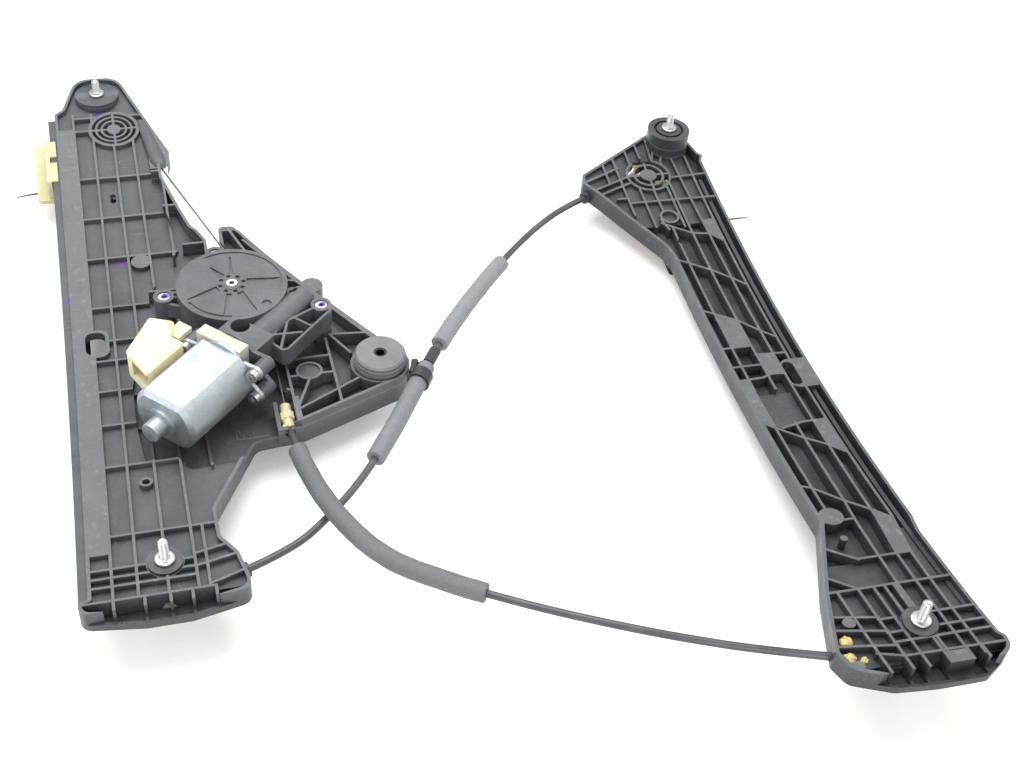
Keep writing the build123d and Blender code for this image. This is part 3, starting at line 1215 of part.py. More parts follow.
def cable_adjuster():
    """Toothed end piece that sets the cable tension."""
    low, high = ADJUSTER_END, ADJUSTER_TOP - 2
    body = rod((ADJUSTER_X, low, ADJUSTER_Z), (ADJUSTER_X, high, ADJUSTER_Z), 7.4)
    star = Circle(ADJUSTER_R - 0.1)
    for turn in range(0, 360, 45):
        star -= Location((0, 0, 0), (0, 0, turn)) * (Pos(ADJUSTER_R, 0) * Circle(0.9))
    for start, depth in ((low, 3.0), (low + 8, 6.5)):
        plane = Plane(origin=(ADJUSTER_X, start, ADJUSTER_Z), x_dir=(1, 0, 0), z_dir=(0, 1, 0))
        body += extrude(plane * star, depth)
    seat = CONDUIT_A[0]
    body -= rod((ADJUSTER_X, low - 1, ADJUSTER_Z), seat, CONDUIT_D + 1.0)
    return body - rod((ADJUSTER_X, low - 1, ADJUSTER_Z), (ADJUSTER_X, high + 1, ADJUSTER_Z), CABLE_D + 1.3)


def cord_path(points):
    """Straight runs joined by tangent arcs, sized by the shorter run and the turn."""
    vectors = [Vector(*point) for point in points]
    radii = []
    for before, here, after in zip(vectors, vectors[1:], vectors[2:]):
        first, second = here - before, after - here
        half = math.radians(first.get_angle(second)) / 2
        radii.append(0.45 * min(first.length, second.length) / math.tan(half))
    print("bend radii", [round(radius, 1) for radius in radii])
    return FilletPolyline(*points, radius=radii)


def conduit(points):
    """Bowden conduit along its route."""
    path = cord_path(points)
    tube = along(path, CONDUIT_D, CONDUIT_BORE)
    section = math.pi * (CONDUIT_D**2 - CONDUIT_BORE**2) / 4
    print("conduit length", round(path.length, 1), "volume ratio", round(tube.volume / (section * path.length), 4))
    return tube


def foam_sleeve(points, span):
    """Foam sleeve over part of a conduit, given as fractions of its length."""
    path = cord_path(points)
    part = Wire(path.edges()).trim(span[0], span[1])
    return along(part, FOAM_D, FOAM_BORE)


def cable_clip():
    """Clip from the rubber mount's foot round the lower foam sleeve."""
    centre = foam_clip_point()
    axis = clip_axis()
    plane = Plane(origin=centre, z_dir=axis)
    band_face = plane * (Circle(FOAM_D / 2 + 1.8) - Circle(FOAM_D / 2 + 0.3))
    loop = extrude(band_face, 4.5, both=True)
    reach = (MOUNT[0] + TIP_R + 2.0, MOUNT[1] - 9, centre[2] + 4)
    arm_end = (centre[0] - 5.6, centre[1] + 2.5, centre[2] + 4)
    arm = rod(reach, arm_end, 4.0)
    foot = post((reach[0], reach[1]), 2.6, -20, centre[2] + 5)
    return loop + arm + foot - rod_through(centre, axis)


def rod_through(centre, axis):
    """Space kept free for the foam sleeve inside the clip."""
    middle, reach = Vector(*centre), axis * 12
    return rod(tuple(middle - reach), tuple(middle + reach), FOAM_D + 0.6)


def foam_clip_point():
    """Where the clip holds the sleeve, on the straight part of a run."""
    a, b = Vector(*CONDUIT_B[5]), Vector(*CONDUIT_B[6])
    return tuple(a + (b - a) * 0.42)


def clip_axis():
    """Direction of the sleeve in the clip."""
    a, b = Vector(*CONDUIT_B[5]), Vector(*CONDUIT_B[6])
    return (b - a).normalized()


def conduit_ferrule():
    """Short collar on the conduit between its two foam sleeves."""
    path = cord_path(CONDUIT_B)
    span = (FOAM_B_LOW[1] + 0.006, FOAM_B_HIGH[0] - 0.006)
    return along(Wire(path.edges()).trim(span[0], span[1]), 9.0, CONDUIT_D + 0.1)


def arc_round(frame, radius, start, end):
    """Piece of cable laid round a pulley, between two angles in the pulley's plane."""
    path = CenterArc((0, 0, 0), radius, start, end - start)
    return frame * along(path, CABLE_D)


def on_frame(frame, point):
    """A point of the shared frame seen in the frame of a pulley."""
    moved = frame.inverse() * Pos(*point)
    return moved.position


def bearing_on(frame, point, radius, side):
    """Angle on a pulley where a straight cable from a point touches it."""
    local = on_frame(frame, point)
    distance = math.hypot(local.X, local.Y)
    return math.degrees(math.atan2(local.Y, local.X) + side * math.acos(radius / distance))


def rim_point(frame, radius, angle):
    """Point on a pulley's cable circle."""
    turn = math.radians(angle)
    place = frame * Pos(radius * math.cos(turn), radius * math.sin(turn), 0)
    return tuple(place.position)


def rail_run(x, y_from, y_to, depth, arc):
    """Cable lying along a rail."""
    return along(rail_arc(x, y_from, y_to, -depth, arc), CABLE_D)


def joint_ball(point):
    """Round join between two stretches of cable."""
    return Pos(*point) * Sphere(CABLE_JOIN_R)


def joint_collar(point, toward):
    """Short collar over a join between two stretches of cable, along the second one."""
    way = (Vector(*toward) - Vector(*point)).normalized() * CABLE_JOIN_R
    return rod(Vector(*point) - way, Vector(*point) + way, 2 * CABLE_JOIN_R)


def drum_turns(z, start, sweep_angle):
    """Cable wound on the drum at one groove."""
    path = CenterArc((*DRUM_CENTRE, z), DRUM_R, start, sweep_angle)
    return along(path, CABLE_D)


def upper_cable():
    """Cable from the drum over the drive pulley and down the drive rail."""
    frame = drive_pulley_frame()
    start, _ = upper_run()
    first = bearing_on(frame, start, PULLEY_R, 1)
    meet = rim_point(frame, PULLEY_R, first)
    left = rim_point(frame, PULLEY_R, 180)
    body = rod(start, meet, CABLE_D) + arc_round(frame, PULLEY_R, first, 180)
    body += joint_ball(meet) + joint_ball(left) + joint_ball(start)
    body += rail_run(-DRIVE_WIRE_X, DRIVE_SLIDER_Y + 26, DRIVE_PULLEY[1], DRIVE_CABLE, DRIVE_ARC_Y)
    turn = math.degrees(math.atan2(start[1] - DRUM_CENTRE[1], start[0] - DRUM_CENTRE[0]))
    return body + drum_turns(UPPER_GROOVE_Z, turn, -250)


def lower_cable():
    """Cable from the drum through the adjuster into the first conduit."""
    start, mouth = lower_run()
    end = CONDUIT_A[0]
    body = rod(start, mouth, CABLE_D) + rod(mouth, (end[0], end[1] - 1, end[2]), CABLE_D)
    body += joint_ball(start) + joint_ball(mouth)
    turn = math.degrees(math.atan2(start[1] - DRUM_CENTRE[1], start[0] - DRUM_CENTRE[0]))
    return body + drum_turns(LOWER_GROOVE_Z, turn, 250)


def linking_cable():
    """Cable down the drive rail, round its guide and into the second conduit."""
    frame = drive_guide_frame()
    end = CONDUIT_B[0]
    leave = bearing_on(frame, end, GUIDE_R, -1)
    meet = rim_point(frame, GUIDE_R, leave)
    left = rim_point(frame, GUIDE_R, 180)
    body = rod(meet, end, CABLE_D) + arc_round(frame, GUIDE_R, 180, 360 + leave)
    body += joint_collar(meet, end) + joint_ball(left)
    low = DRIVE_GUIDE[1]
    return body + rail_run(-DRIVE_WIRE_X, low, DRIVE_SLIDER_Y + 24, DRIVE_CABLE, DRIVE_ARC_Y)


def second_rail_cables():
    """Two cables of the second rail: from its lower guide up, and from its pulley down."""
    x = SECOND_PULLEY[0] + PULLEY_R
    guide, wheel = second_guide_frame(), second_pulley_frame()
    low_end, high_end = to_second(CONDUIT_A[-1]), to_second(CONDUIT_B[-1])
    leave = bearing_on(guide, low_end, GUIDE_R, 1)
    meet = rim_point(guide, GUIDE_R, leave)
    lower = rod(low_end, meet, CABLE_D) + arc_round(guide, GUIDE_R, leave, 360)
    lower += joint_collar(meet, low_end) + joint_ball(rim_point(guide, GUIDE_R, 0))
    lower += rail_run(x, SECOND_GUIDE[1], SECOND_SLIDER_Y + 24, SECOND_CABLE, SECOND_ARC_Y)
    arrive = bearing_on(wheel, high_end, PULLEY_R, -1)
    touch = rim_point(wheel, PULLEY_R, arrive)
    upper = rod(high_end, touch, CABLE_D) + arc_round(wheel, PULLEY_R, 0, arrive)
    upper += joint_ball(touch) + joint_ball(rim_point(wheel, PULLEY_R, 0))
    upper += rail_run(x, SECOND_SLIDER_Y + 26, SECOND_PULLEY[1], SECOND_CABLE, SECOND_ARC_Y)
    return second_frame() * lower, second_frame() * upper


def build():
    """Every piece by its node name."""
    second = second_frame()
    saddles = cable_ferrules()
    lower_right, upper_right = second_rail_cables()
    drive_clamp = (DRIVE_RAIL_X, 1, DRIVE_SLIDER_Y, DRIVE_ARC_Y)
    second_clamp = (SECOND_RAIL_X, -1, SECOND_SLIDER_Y, SECOND_ARC_Y)
    drive_pin = drive_pulley_frame() * pulley_pin(5.0)
    second_pin = second * (second_pulley_frame() * pulley_pin(7.0))
    return {
        "drive_carrier": drive_carrier(),
        "second_carrier": second * second_carrier(),
        "mounting_studs": mounting_studs(),
        "stud_washers": stud_washers(),
        "drive_top_pulley": drive_pulley_frame() * pulley(),
        "second_top_pulley": second * (second_pulley_frame() * pulley()),
        "pulley_pins": Compound(children=[drive_pin, second_pin]),
        "drive_lower_guide": drive_guide_frame() * cable_guide(),
        "second_lower_guide": second * (second_guide_frame() * cable_guide()),
        "drive_slider": drive_slider(),
        "second_slider": second_slider(),
        "drive_clamp_jaw": clamp_jaw(*drive_clamp),
        "second_clamp_jaw": second * clamp_jaw(*second_clamp),
        "drive_clamp_pads": clamp_pads(*drive_clamp),
        "second_clamp_pads": second * clamp_pads(*second_clamp),
        "drive_clamp_screw": clamp_screw(*drive_clamp),
        "second_clamp_screw": second * clamp_screw(*second_clamp),
        "drive_spring_strip": spring_strip(-80, -50, DRIVE_SLIDER_Y + 11, DRIVE_ARC_Y),
        "second_spring_strip": second * spring_strip(46, 71, SECOND_SLIDER_Y + 37, SECOND_ARC_Y),
        "drive_cable_saddle": saddles[0],
        "second_cable_saddle": saddles[1],
        "cable_drum": cable_drum(),
        "worm_wheel": worm_wheel(),
        "hub_pin": hub_pin(),
        "gear_housing": gear_housing(),
        "gear_housing_base": gear_housing_base(),
        "housing_screws": housing_screws(),
        "armature_shaft": armature_shaft(),
        "armature_core": armature_core(),
        "commutator": commutator(),
        "motor_can": motor_can(),
        "field_magnets": field_magnets(),
        "end_bearing": end_bearing(),
        "worm_bush": worm_bush(),
        "brush_holder": brush_holder(),
        "carbon_brushes": carbon_brushes(),
        "flange_screws": flange_screws(),
        "connector_block": connector_block(),
        "connector_pins": connector_pins(),
        "rubber_mount": rubber_mount(),
        "mount_sleeve": mount_sleeve(),
        "cable_adjuster": cable_adjuster(),
        "first_conduit": conduit(CONDUIT_A),
        "second_conduit": conduit(CONDUIT_B),
        "foam_sleeve_first": foam_sleeve(CONDUIT_A, FOAM_A),
        "foam_sleeve_lower": foam_sleeve(CONDUIT_B, FOAM_B_LOW),
        "foam_sleeve_upper": foam_sleeve(CONDUIT_B, FOAM_B_HIGH),
        "conduit_ferrule": conduit_ferrule(),
        "cable_clip": cable_clip(),
        "upper_cable": upper_cable(),
        "lower_cable": lower_cable(),
        "linking_cable": linking_cable(),
        "second_lower_cable": lower_right,
        "second_upper_cable": upper_right,
    }


os.makedirs("parts", exist_ok=True)
for node, made in build().items():
    lowered = [Pos(0, 0, -PANEL_SEAT) * solid for solid in made.solids()]
    shape = lowered[0] if len(lowered) == 1 else Compound(lowered)
    shape.label = node
    export_step(shape, f"parts/{node}.step")
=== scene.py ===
# %% [markdown]
# # A twin-rail window regulator
# This machine sits inside a car door and lifts the glass. A motor turns a drum through a worm gear, the
# drum winds two cables, and the cables draw two sliders up two curved plastic rails. The moulded rails,
# the gears and the motor come from the fixed frame, and this lesson dresses them: camera, light,
# finishes, and the pieces that look better as smooth curves, threads and foam.

# %% Load the fixed frame
import math

import bmesh
import bpy
from mathutils import Matrix, Vector, noise


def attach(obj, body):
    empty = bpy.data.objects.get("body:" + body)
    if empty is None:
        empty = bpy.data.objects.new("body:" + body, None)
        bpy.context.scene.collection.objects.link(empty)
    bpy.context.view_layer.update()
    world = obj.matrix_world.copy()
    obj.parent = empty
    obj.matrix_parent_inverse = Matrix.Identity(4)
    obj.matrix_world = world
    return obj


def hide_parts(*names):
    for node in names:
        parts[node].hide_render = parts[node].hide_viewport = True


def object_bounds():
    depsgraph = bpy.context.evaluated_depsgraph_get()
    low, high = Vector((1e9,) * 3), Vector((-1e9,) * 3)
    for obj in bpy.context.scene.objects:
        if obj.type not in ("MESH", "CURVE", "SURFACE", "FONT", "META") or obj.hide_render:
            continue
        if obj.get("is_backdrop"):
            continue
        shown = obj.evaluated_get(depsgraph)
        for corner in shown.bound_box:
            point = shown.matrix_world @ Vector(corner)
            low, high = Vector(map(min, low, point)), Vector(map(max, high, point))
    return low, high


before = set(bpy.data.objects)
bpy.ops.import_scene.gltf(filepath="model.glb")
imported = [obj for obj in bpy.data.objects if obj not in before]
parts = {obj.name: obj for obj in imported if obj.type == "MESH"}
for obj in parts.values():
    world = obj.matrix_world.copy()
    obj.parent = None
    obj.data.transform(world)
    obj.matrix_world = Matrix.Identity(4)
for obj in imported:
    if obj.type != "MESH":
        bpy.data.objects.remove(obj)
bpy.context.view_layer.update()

MM = 0.001

# %% [markdown]
# ## Camera
# A photograph of a flat machine tells where the camera stood: the rails' known lengths shrink with
# distance, and parallel edges lean together. The camera could be aimed by eye, but a place, three
# turns and a focal length worked out from the rails put every edge where the photograph has it.

# %% Camera at the photograph's angle
PHOTO_WIDTH = 1024
FOCAL_PIXELS = 1445.58
CAMERA_PLACE = Vector((9.465, -560.084, 675.162)) * MM
PITCH_DOWN = math.radians(43.829)
HEADING = math.radians(19.047)
ROLL = math.radians(6.090)
SENSOR_WIDTH = 36.0
NEAREST_SEEN = 0.01
FARTHEST_SEEN = 50.0


def photo_camera():
    """Camera object looking down on the machine as the photographer did."""
    ahead = Vector((math.sin(HEADING) * math.cos(PITCH_DOWN),
                    math.cos(HEADING) * math.cos(PITCH_DOWN), -math.sin(PITCH_DOWN)))
    level_right = Vector((math.cos(HEADING), -math.sin(HEADING), 0.0))
    level_up = level_right.cross(ahead)
    right = level_right * math.cos(ROLL) + level_up * math.sin(ROLL)
    up = level_up * math.cos(ROLL) - level_right * math.sin(ROLL)
    lens = bpy.data.cameras.new("photo_camera")
    lens.sensor_fit = "HORIZONTAL"
    lens.sensor_width = SENSOR_WIDTH
    lens.lens = SENSOR_WIDTH * FOCAL_PIXELS / PHOTO_WIDTH
    lens.clip_start = NEAREST_SEEN
    lens.clip_end = FARTHEST_SEEN
    camera = bpy.data.objects.new("photo_camera", lens)
    turn = Matrix((right, up, -ahead)).transposed()
    camera.matrix_world = Matrix.Translation(CAMERA_PLACE) @ turn.to_4x4()
    bpy.context.scene.collection.objects.link(camera)
    bpy.context.scene.camera = camera
    return camera


print("focal length mm", round(photo_camera().data.lens, 2))

# %% [markdown]
# ## A few tools for node materials
# A finish is a small network: textures make values, values blend colours, and one shader takes them.
# Wiring each link by hand fills pages, so these helpers set a socket to a number or link it to another
# socket, whichever they are given. Patterns read Object coordinates, so they stay fixed to the piece.

# %% Helpers that add and wire nodes
def put(tree, socket, value):
    """Links a socket to another one, or sets its own number or colour."""
    if isinstance(value, bpy.types.NodeSocket):
        tree.links.new(value, socket)
    else:
        socket.default_value = value


def node(tree, kind, inputs=None, **settings):
    """New shader node with its settings and inputs."""
    made = tree.nodes.new("ShaderNode" + kind)
    for name, value in settings.items():
        setattr(made, name, value)
    for key, value in (inputs or {}).items():
        put(tree, made.inputs[key], value)
    return made


def combine(tree, operation, first, second=0.5):
    """One arithmetic step; a step such as the absolute value takes no notice of the second number."""
    return node(tree, "Math", {0: first, 1: second}, operation=operation).outputs[0]


def spread(tree, value, low, high, to_low=0.0, to_high=1.0):
    """Stretches a range of a value to another range, and clamps it."""
    inputs = {"Value": value, "From Min": low, "From Max": high, "To Min": to_low, "To Max": to_high}
    return node(tree, "MapRange", inputs).outputs[0]


def blend_colour(tree, factor, first, second):
    """Mixes two colours by a mask."""
    mixed = node(tree, "Mix", data_type="RGBA")
    for index, value in ((0, factor), (6, first), (7, second)):
        if not isinstance(value, (float, bpy.types.NodeSocket)):
            value = (*value, 1.0)
        put(tree, mixed.inputs[index], value)
    return mixed.outputs[2]


def stretched(tree, place, scale, turn=(0.0, 0.0, 0.0)):
    """Coordinates stretched and turned for a pattern with a direction."""
    return node(tree, "Mapping", {"Vector": place, "Scale": scale, "Rotation": turn}).outputs[0]


def clouds(tree, place, scale, detail=3.0, rough=0.55):
    """Cloud-like noise around one half."""
    inputs = {"Vector": place, "Scale": scale, "Detail": detail, "Roughness": rough}
    return node(tree, "TexNoise", inputs).outputs[0]


def new_group(name, outputs, inputs=()):
    """Empty shader node group that takes a place and some numbers, and gives values."""
    tree = bpy.data.node_groups.new(name, "ShaderNodeTree")
    tree.interface.new_socket("Place", in_out="INPUT", socket_type="NodeSocketVector")
    for label, value in inputs:
        socket = tree.interface.new_socket(label, in_out="INPUT", socket_type="NodeSocketFloat")
        socket.default_value = value
    for label in outputs:
        tree.interface.new_socket(label, in_out="OUTPUT", socket_type="NodeSocketFloat")
    entry = tree.nodes.new("NodeGroupInput")
    return tree, entry, tree.nodes.new("NodeGroupOutput")


def use(tree, group, place, **values):
    """Places a group in a material with its own values."""
    made = tree.nodes.new("ShaderNodeGroup")
    made.node_tree = group
    tree.links.new(place, made.inputs["Place"])
    for label, value in values.items():
        made.inputs[label].default_value = value
    return made


print("helpers ready")

# %% [markdown]
# ## Moulded grain
# Filled black plastic comes out of a spark-eroded mould with a fine pebbled skin, and the filler leaves
# slow drifts of lighter and darker grey. Three noises at three sizes give both: the fine one for the
# bump, the middle one for patches, and a long stretched one for the way the melt flowed.

# %% Group: grain of a moulded surface
def grain_group():
    """Height, patches and flow of a moulded skin."""
    tree, entry, leave = new_group("moulded_grain", ("Height", "Patches", "Flow"), [("Size", 900.0)])
    place = entry.outputs["Place"]
    fine = clouds(tree, place, entry.outputs["Size"], 4.0, 0.6)
    drift = clouds(tree, place, 38.0, 5.0, 0.62)
    wave = clouds(tree, stretched(tree, place, (60.0, 9.0, 60.0)), 1.0, 4.0, 0.6)
    put(tree, leave.inputs["Height"], fine)
    put(tree, leave.inputs["Patches"], spread(tree, drift, 0.36, 0.66))
    put(tree, leave.inputs["Flow"], spread(tree, wave, 0.4, 0.64))
    return tree


GRAIN = grain_group()
print("group", GRAIN.name)

# %% [markdown]
# ## Handling marks
# A used part carries hair-fine scratches and rubbed spots. A noise squeezed along one direction and cut
# off high leaves thin broken lines; two directions and a mask of clouds keep them from looking ruled.

# %% Group: scratches and rubs
SCRATCH_WAYS = ((0.5, (900.0, 16.0, 900.0)), (-0.9, (24.0, 1100.0, 1100.0)))


def marks_group():
    """Masks of fine scratches and of rubbed spots."""
    tree, entry, leave = new_group("handling_marks", ("Scratches", "Rubs"))
    place = entry.outputs["Place"]
    lines = []
    for turn, scale in SCRATCH_WAYS:
        thin = clouds(tree, stretched(tree, place, scale, (0.0, 0.0, turn)), 1.0, 2.0, 0.5)
        lines.append(spread(tree, thin, 0.66, 0.72))
    where = spread(tree, clouds(tree, place, 22.0, 3.0), 0.5, 0.68)
    both = combine(tree, "MAXIMUM", lines[0], lines[1])
    put(tree, leave.inputs["Scratches"], combine(tree, "MULTIPLY", both, where))
    rubs = clouds(tree, place, 120.0, 6.0, 0.75)
    put(tree, leave.inputs["Rubs"], spread(tree, rubs, 0.6, 0.74))
    return tree


MARKS = marks_group()
print("group", MARKS.name)

# %% [markdown]
# ## Settled dust
# Dust lies on what faces up and clings in soft patches. The surface normal tells which way a face
# looks, and clouds break the film up, so walls stay dark while floors and rib tops go a little grey.

# %% Group: dust on upward faces
def dust_group():
    """Mask of a thin dust film."""
    tree, entry, leave = new_group("settled_dust", ("Film",), [("Amount", 0.3)])
    place = entry.outputs["Place"]
    facing = node(tree, "SeparateXYZ", {0: node(tree, "NewGeometry").outputs["Normal"]}).outputs["Z"]
    upward = spread(tree, facing, 0.55, 1.0)
    soft = spread(tree, clouds(tree, place, 65.0, 6.0, 0.7), 0.34, 0.72)
    specks = spread(tree, clouds(tree, place, 1400.0, 2.0), 0.66, 0.74)
    film = combine(tree, "MAXIMUM", soft, specks)
    film = combine(tree, "MULTIPLY", film, upward)
    put(tree, leave.inputs["Film"], combine(tree, "MULTIPLY", film, entry.outputs["Amount"]))
    return tree


DUST = dust_group()
print("group", DUST.name)

# %% [markdown]
# ## Zinc bloom
# Zinc plating on drawn steel is never an even mirror: it has a crystal mottle, cloudy white bloom where
# it has aged, and long drawing lines. Cells give the mottle and stretched noise gives the lines.

# %% Group: plated metal
MOTOR_TURN = -0.777


def plating_group():
    """Mottle, bloom and drawing lines of plated steel."""
    tree, entry, leave = new_group("zinc_bloom", ("Mottle", "Bloom", "Lines"), [("Size", 260.0)])
    place = entry.outputs["Place"]
    warped = clouds(tree, place, 90.0, 3.0)
    cells = node(tree, "TexVoronoi", {"Vector": place, "Scale": entry.outputs["Size"]})
    shade = node(tree, "SeparateColor", {0: cells.outputs["Color"]}).outputs[0]
    mottle = combine(tree, "MULTIPLY", shade, spread(tree, warped, 0.3, 0.7))
    put(tree, leave.inputs["Mottle"], mottle)
    put(tree, leave.inputs["Bloom"], spread(tree, clouds(tree, place, 48.0, 7.0, 0.72), 0.46, 0.7))
    drawn = stretched(tree, place, (30.0, 900.0, 900.0), (0.0, 0.0, MOTOR_TURN))
    put(tree, leave.inputs["Lines"], clouds(tree, drawn, 1.0, 3.0))
    return tree


PLATING = plating_group()
print("group", PLATING.name)

# %% [markdown]
# ## Foam skin
# The sleeves that stop the conduits rattling are split foam tubes. Their skin shows small closed cells,
# and it is rubbed pale where it has touched the door. Cells at two sizes make the skin, clouds the rubs.

# %% Group: skin of foam
def foam_group():
    """Cells and rubbed patches of a foam skin."""
    tree, entry, leave = new_group("foam_skin", ("Height", "Rubs"), [("Size", 700.0)])
    place = entry.outputs["Place"]
    cells = node(tree, "TexVoronoi", {"Vector": place, "Scale": entry.outputs["Size"]})
    coarse = clouds(tree, place, 210.0, 5.0, 0.7)
    height = combine(tree, "ADD", cells.outputs["Distance"], combine(tree, "MULTIPLY", coarse, 1.6))
    put(tree, leave.inputs["Height"], height)
    rubs = clouds(tree, place, 75.0, 8.0, 0.8)
    put(tree, leave.inputs["Rubs"], spread(tree, rubs, 0.52, 0.68))
    return tree


FOAM = foam_group()
print("group", FOAM.name)

# %% [markdown]
# ## Touch of paint
# An inspector dabs violet paint on each screw that has been tightened. A dab is a soft round spot with a
# ragged rim: the distance from a point, made uneven by noise, and cut off sharply.

# %% Group: a dab of inspection paint
RAGGED_BACK = 0.002
DAB_EDGE = 0.0006


def dab_group():
    """Mask of one dab around a point."""
    tree, entry, leave = new_group("paint_dab", ("Dab",), [("X", 0.0), ("Y", 0.0), ("Reach", 0.004)])
    place = entry.outputs["Place"]
    spot = node(tree, "CombineXYZ", {"X": entry.outputs["X"], "Y": entry.outputs["Y"]}).outputs[0]
    flat = node(tree, "VectorMath", {0: place, 1: (1.0, 1.0, 0.0)}, operation="MULTIPLY").outputs[0]
    gap = node(tree, "VectorMath", {0: flat, 1: spot}, operation="DISTANCE").outputs["Value"]
    ragged = combine(tree, "MULTIPLY", clouds(tree, place, 500.0, 3.0), entry.outputs["Reach"])
    near = combine(tree, "SUBTRACT", entry.outputs["Reach"], gap)
    mask = combine(tree, "ADD", near, combine(tree, "SUBTRACT", ragged, RAGGED_BACK))
    put(tree, leave.inputs["Dab"], spread(tree, mask, 0.0, DAB_EDGE))
    return tree


DAB = dab_group()
print("group", DAB.name)

# %% [markdown]
# ## Rib tops and pocket floors
# The rib tops are painted lighter, partly as the wear of hands and tools and partly as a painted highlight,
# and the pockets between them are painted darker, as painted shade. Both carriers are bent to one large
# radius, so the distance from the bend's centre line tells how deep a point lies below the rib tops. That
# gives one mask for the worn and highlit crowns, one for the painted shade of deep floors and one for
# painted glints in patches on the crowns. The raised wing has its own level of rib tops, so the crowns are
# sought at two depths.

# %% Group: depth below the rib tops
RAIL_RADIUS = 1.5
WING_RISE = 0.007
CROWN_BAND = (0.0003, 0.0009)
DEEP_BAND = (0.0015, 0.010)


def depth_group():
    """Masks of worn and highlit rib tops, painted shade of deep places and painted glints on the ribs."""
    numbers = [("X", 0.0), ("Y", 0.0), ("Z", 0.0), ("Lean", 0.0)]
    tree, entry, leave = new_group("rail_depth", ("Crown", "DeepShade", "PaintedGlints"), numbers)
    place = entry.outputs["Place"]
    middle = node(tree, "CombineXYZ", {axis: entry.outputs[axis] for axis in "XYZ"}).outputs[0]
    away = node(tree, "VectorMath", {0: place, 1: middle}, operation="SUBTRACT").outputs[0]
    x, y, z = node(tree, "SeparateXYZ", {0: away}).outputs
    across = combine(tree, "ADD", y, combine(tree, "MULTIPLY", x, entry.outputs["Lean"]))
    squares = combine(tree, "ADD", combine(tree, "MULTIPLY", across, across),
                      combine(tree, "MULTIPLY", z, z))
    depth = combine(tree, "SUBTRACT", combine(tree, "SQRT", squares), RAIL_RADIUS)
    # rib-top mask: lightened for wear and as a painted highlight
    low_crown = spread(tree, combine(tree, "ABSOLUTE", depth), *CROWN_BAND, 1.0, 0.0)
    raised = combine(tree, "ABSOLUTE", combine(tree, "ADD", depth, WING_RISE))
    crown = combine(tree, "MAXIMUM", low_crown, spread(tree, raised, *CROWN_BAND, 1.0, 0.0))
    put(tree, leave.inputs["Crown"], crown)
    # painted shade: mask of the deep places below the rib tops
    put(tree, leave.inputs["DeepShade"], spread(tree, depth, *DEEP_BAND))
    # painted glints: patches of pale highlight on the rib tops
    spots = spread(tree, clouds(tree, place, 170.0, 4.0, 0.6), 0.56, 0.82, 0.0, 0.6)
    put(tree, leave.inputs["PaintedGlints"], combine(tree, "MULTIPLY", crown, spots))
    return tree


DEPTH = depth_group()
print("group", DEPTH.name)

# %% [markdown]
# ## Black moulded plastic
# The carriers, the gear housing and the clips are glass-filled plastic: near black, half dull, greyer
# where dust lies or a tool has slipped. The base stays very dark, because the white surroundings add
# their own sheen. Patches and dust change the roughness as well as the colour, as on the real skin.

# %% Finish: dark mouldings
DUST_GREY = (0.20, 0.20, 0.195)
VIOLET = (0.10, 0.025, 0.36)
# painted glints: pale bluish highlight painted in patches on the rib tops
PAINTED_GLINT_WHITE = (0.26, 0.26, 0.27)
DIM_SHARE = 0.82
LIT_SHARE = 1.2
# painted shade: the deep pocket floors keep this share of the body colour
DEEP_SHADE_SHARE = 0.3
FLOW_SHOWS = 0.12
# how strongly the painted shade of the deep pockets shows
DEEP_SHADE_SHOWS = 0.55
# how strongly the rib tops are lightened, for wear and as a painted highlight
CROWN_SHOWS = 0.4
FILM_DULLS = 0.5


def start_finish(name):
    """New material with its shader and its Object coordinates."""
    made = bpy.data.materials.new(name)
    made.use_nodes = True
    tree = made.node_tree
    shader = tree.nodes["Principled BSDF"]
    return made, tree, shader, node(tree, "TexCoord").outputs["Object"]


def raise_skin(tree, shader, height, depth, strength=0.5):
    """Feeds a height to the shader's normal; depth is in metres."""
    bump = node(tree, "Bump", {"Height": height, "Distance": depth, "Strength": strength})
    tree.links.new(bump.outputs[0], shader.inputs["Normal"])


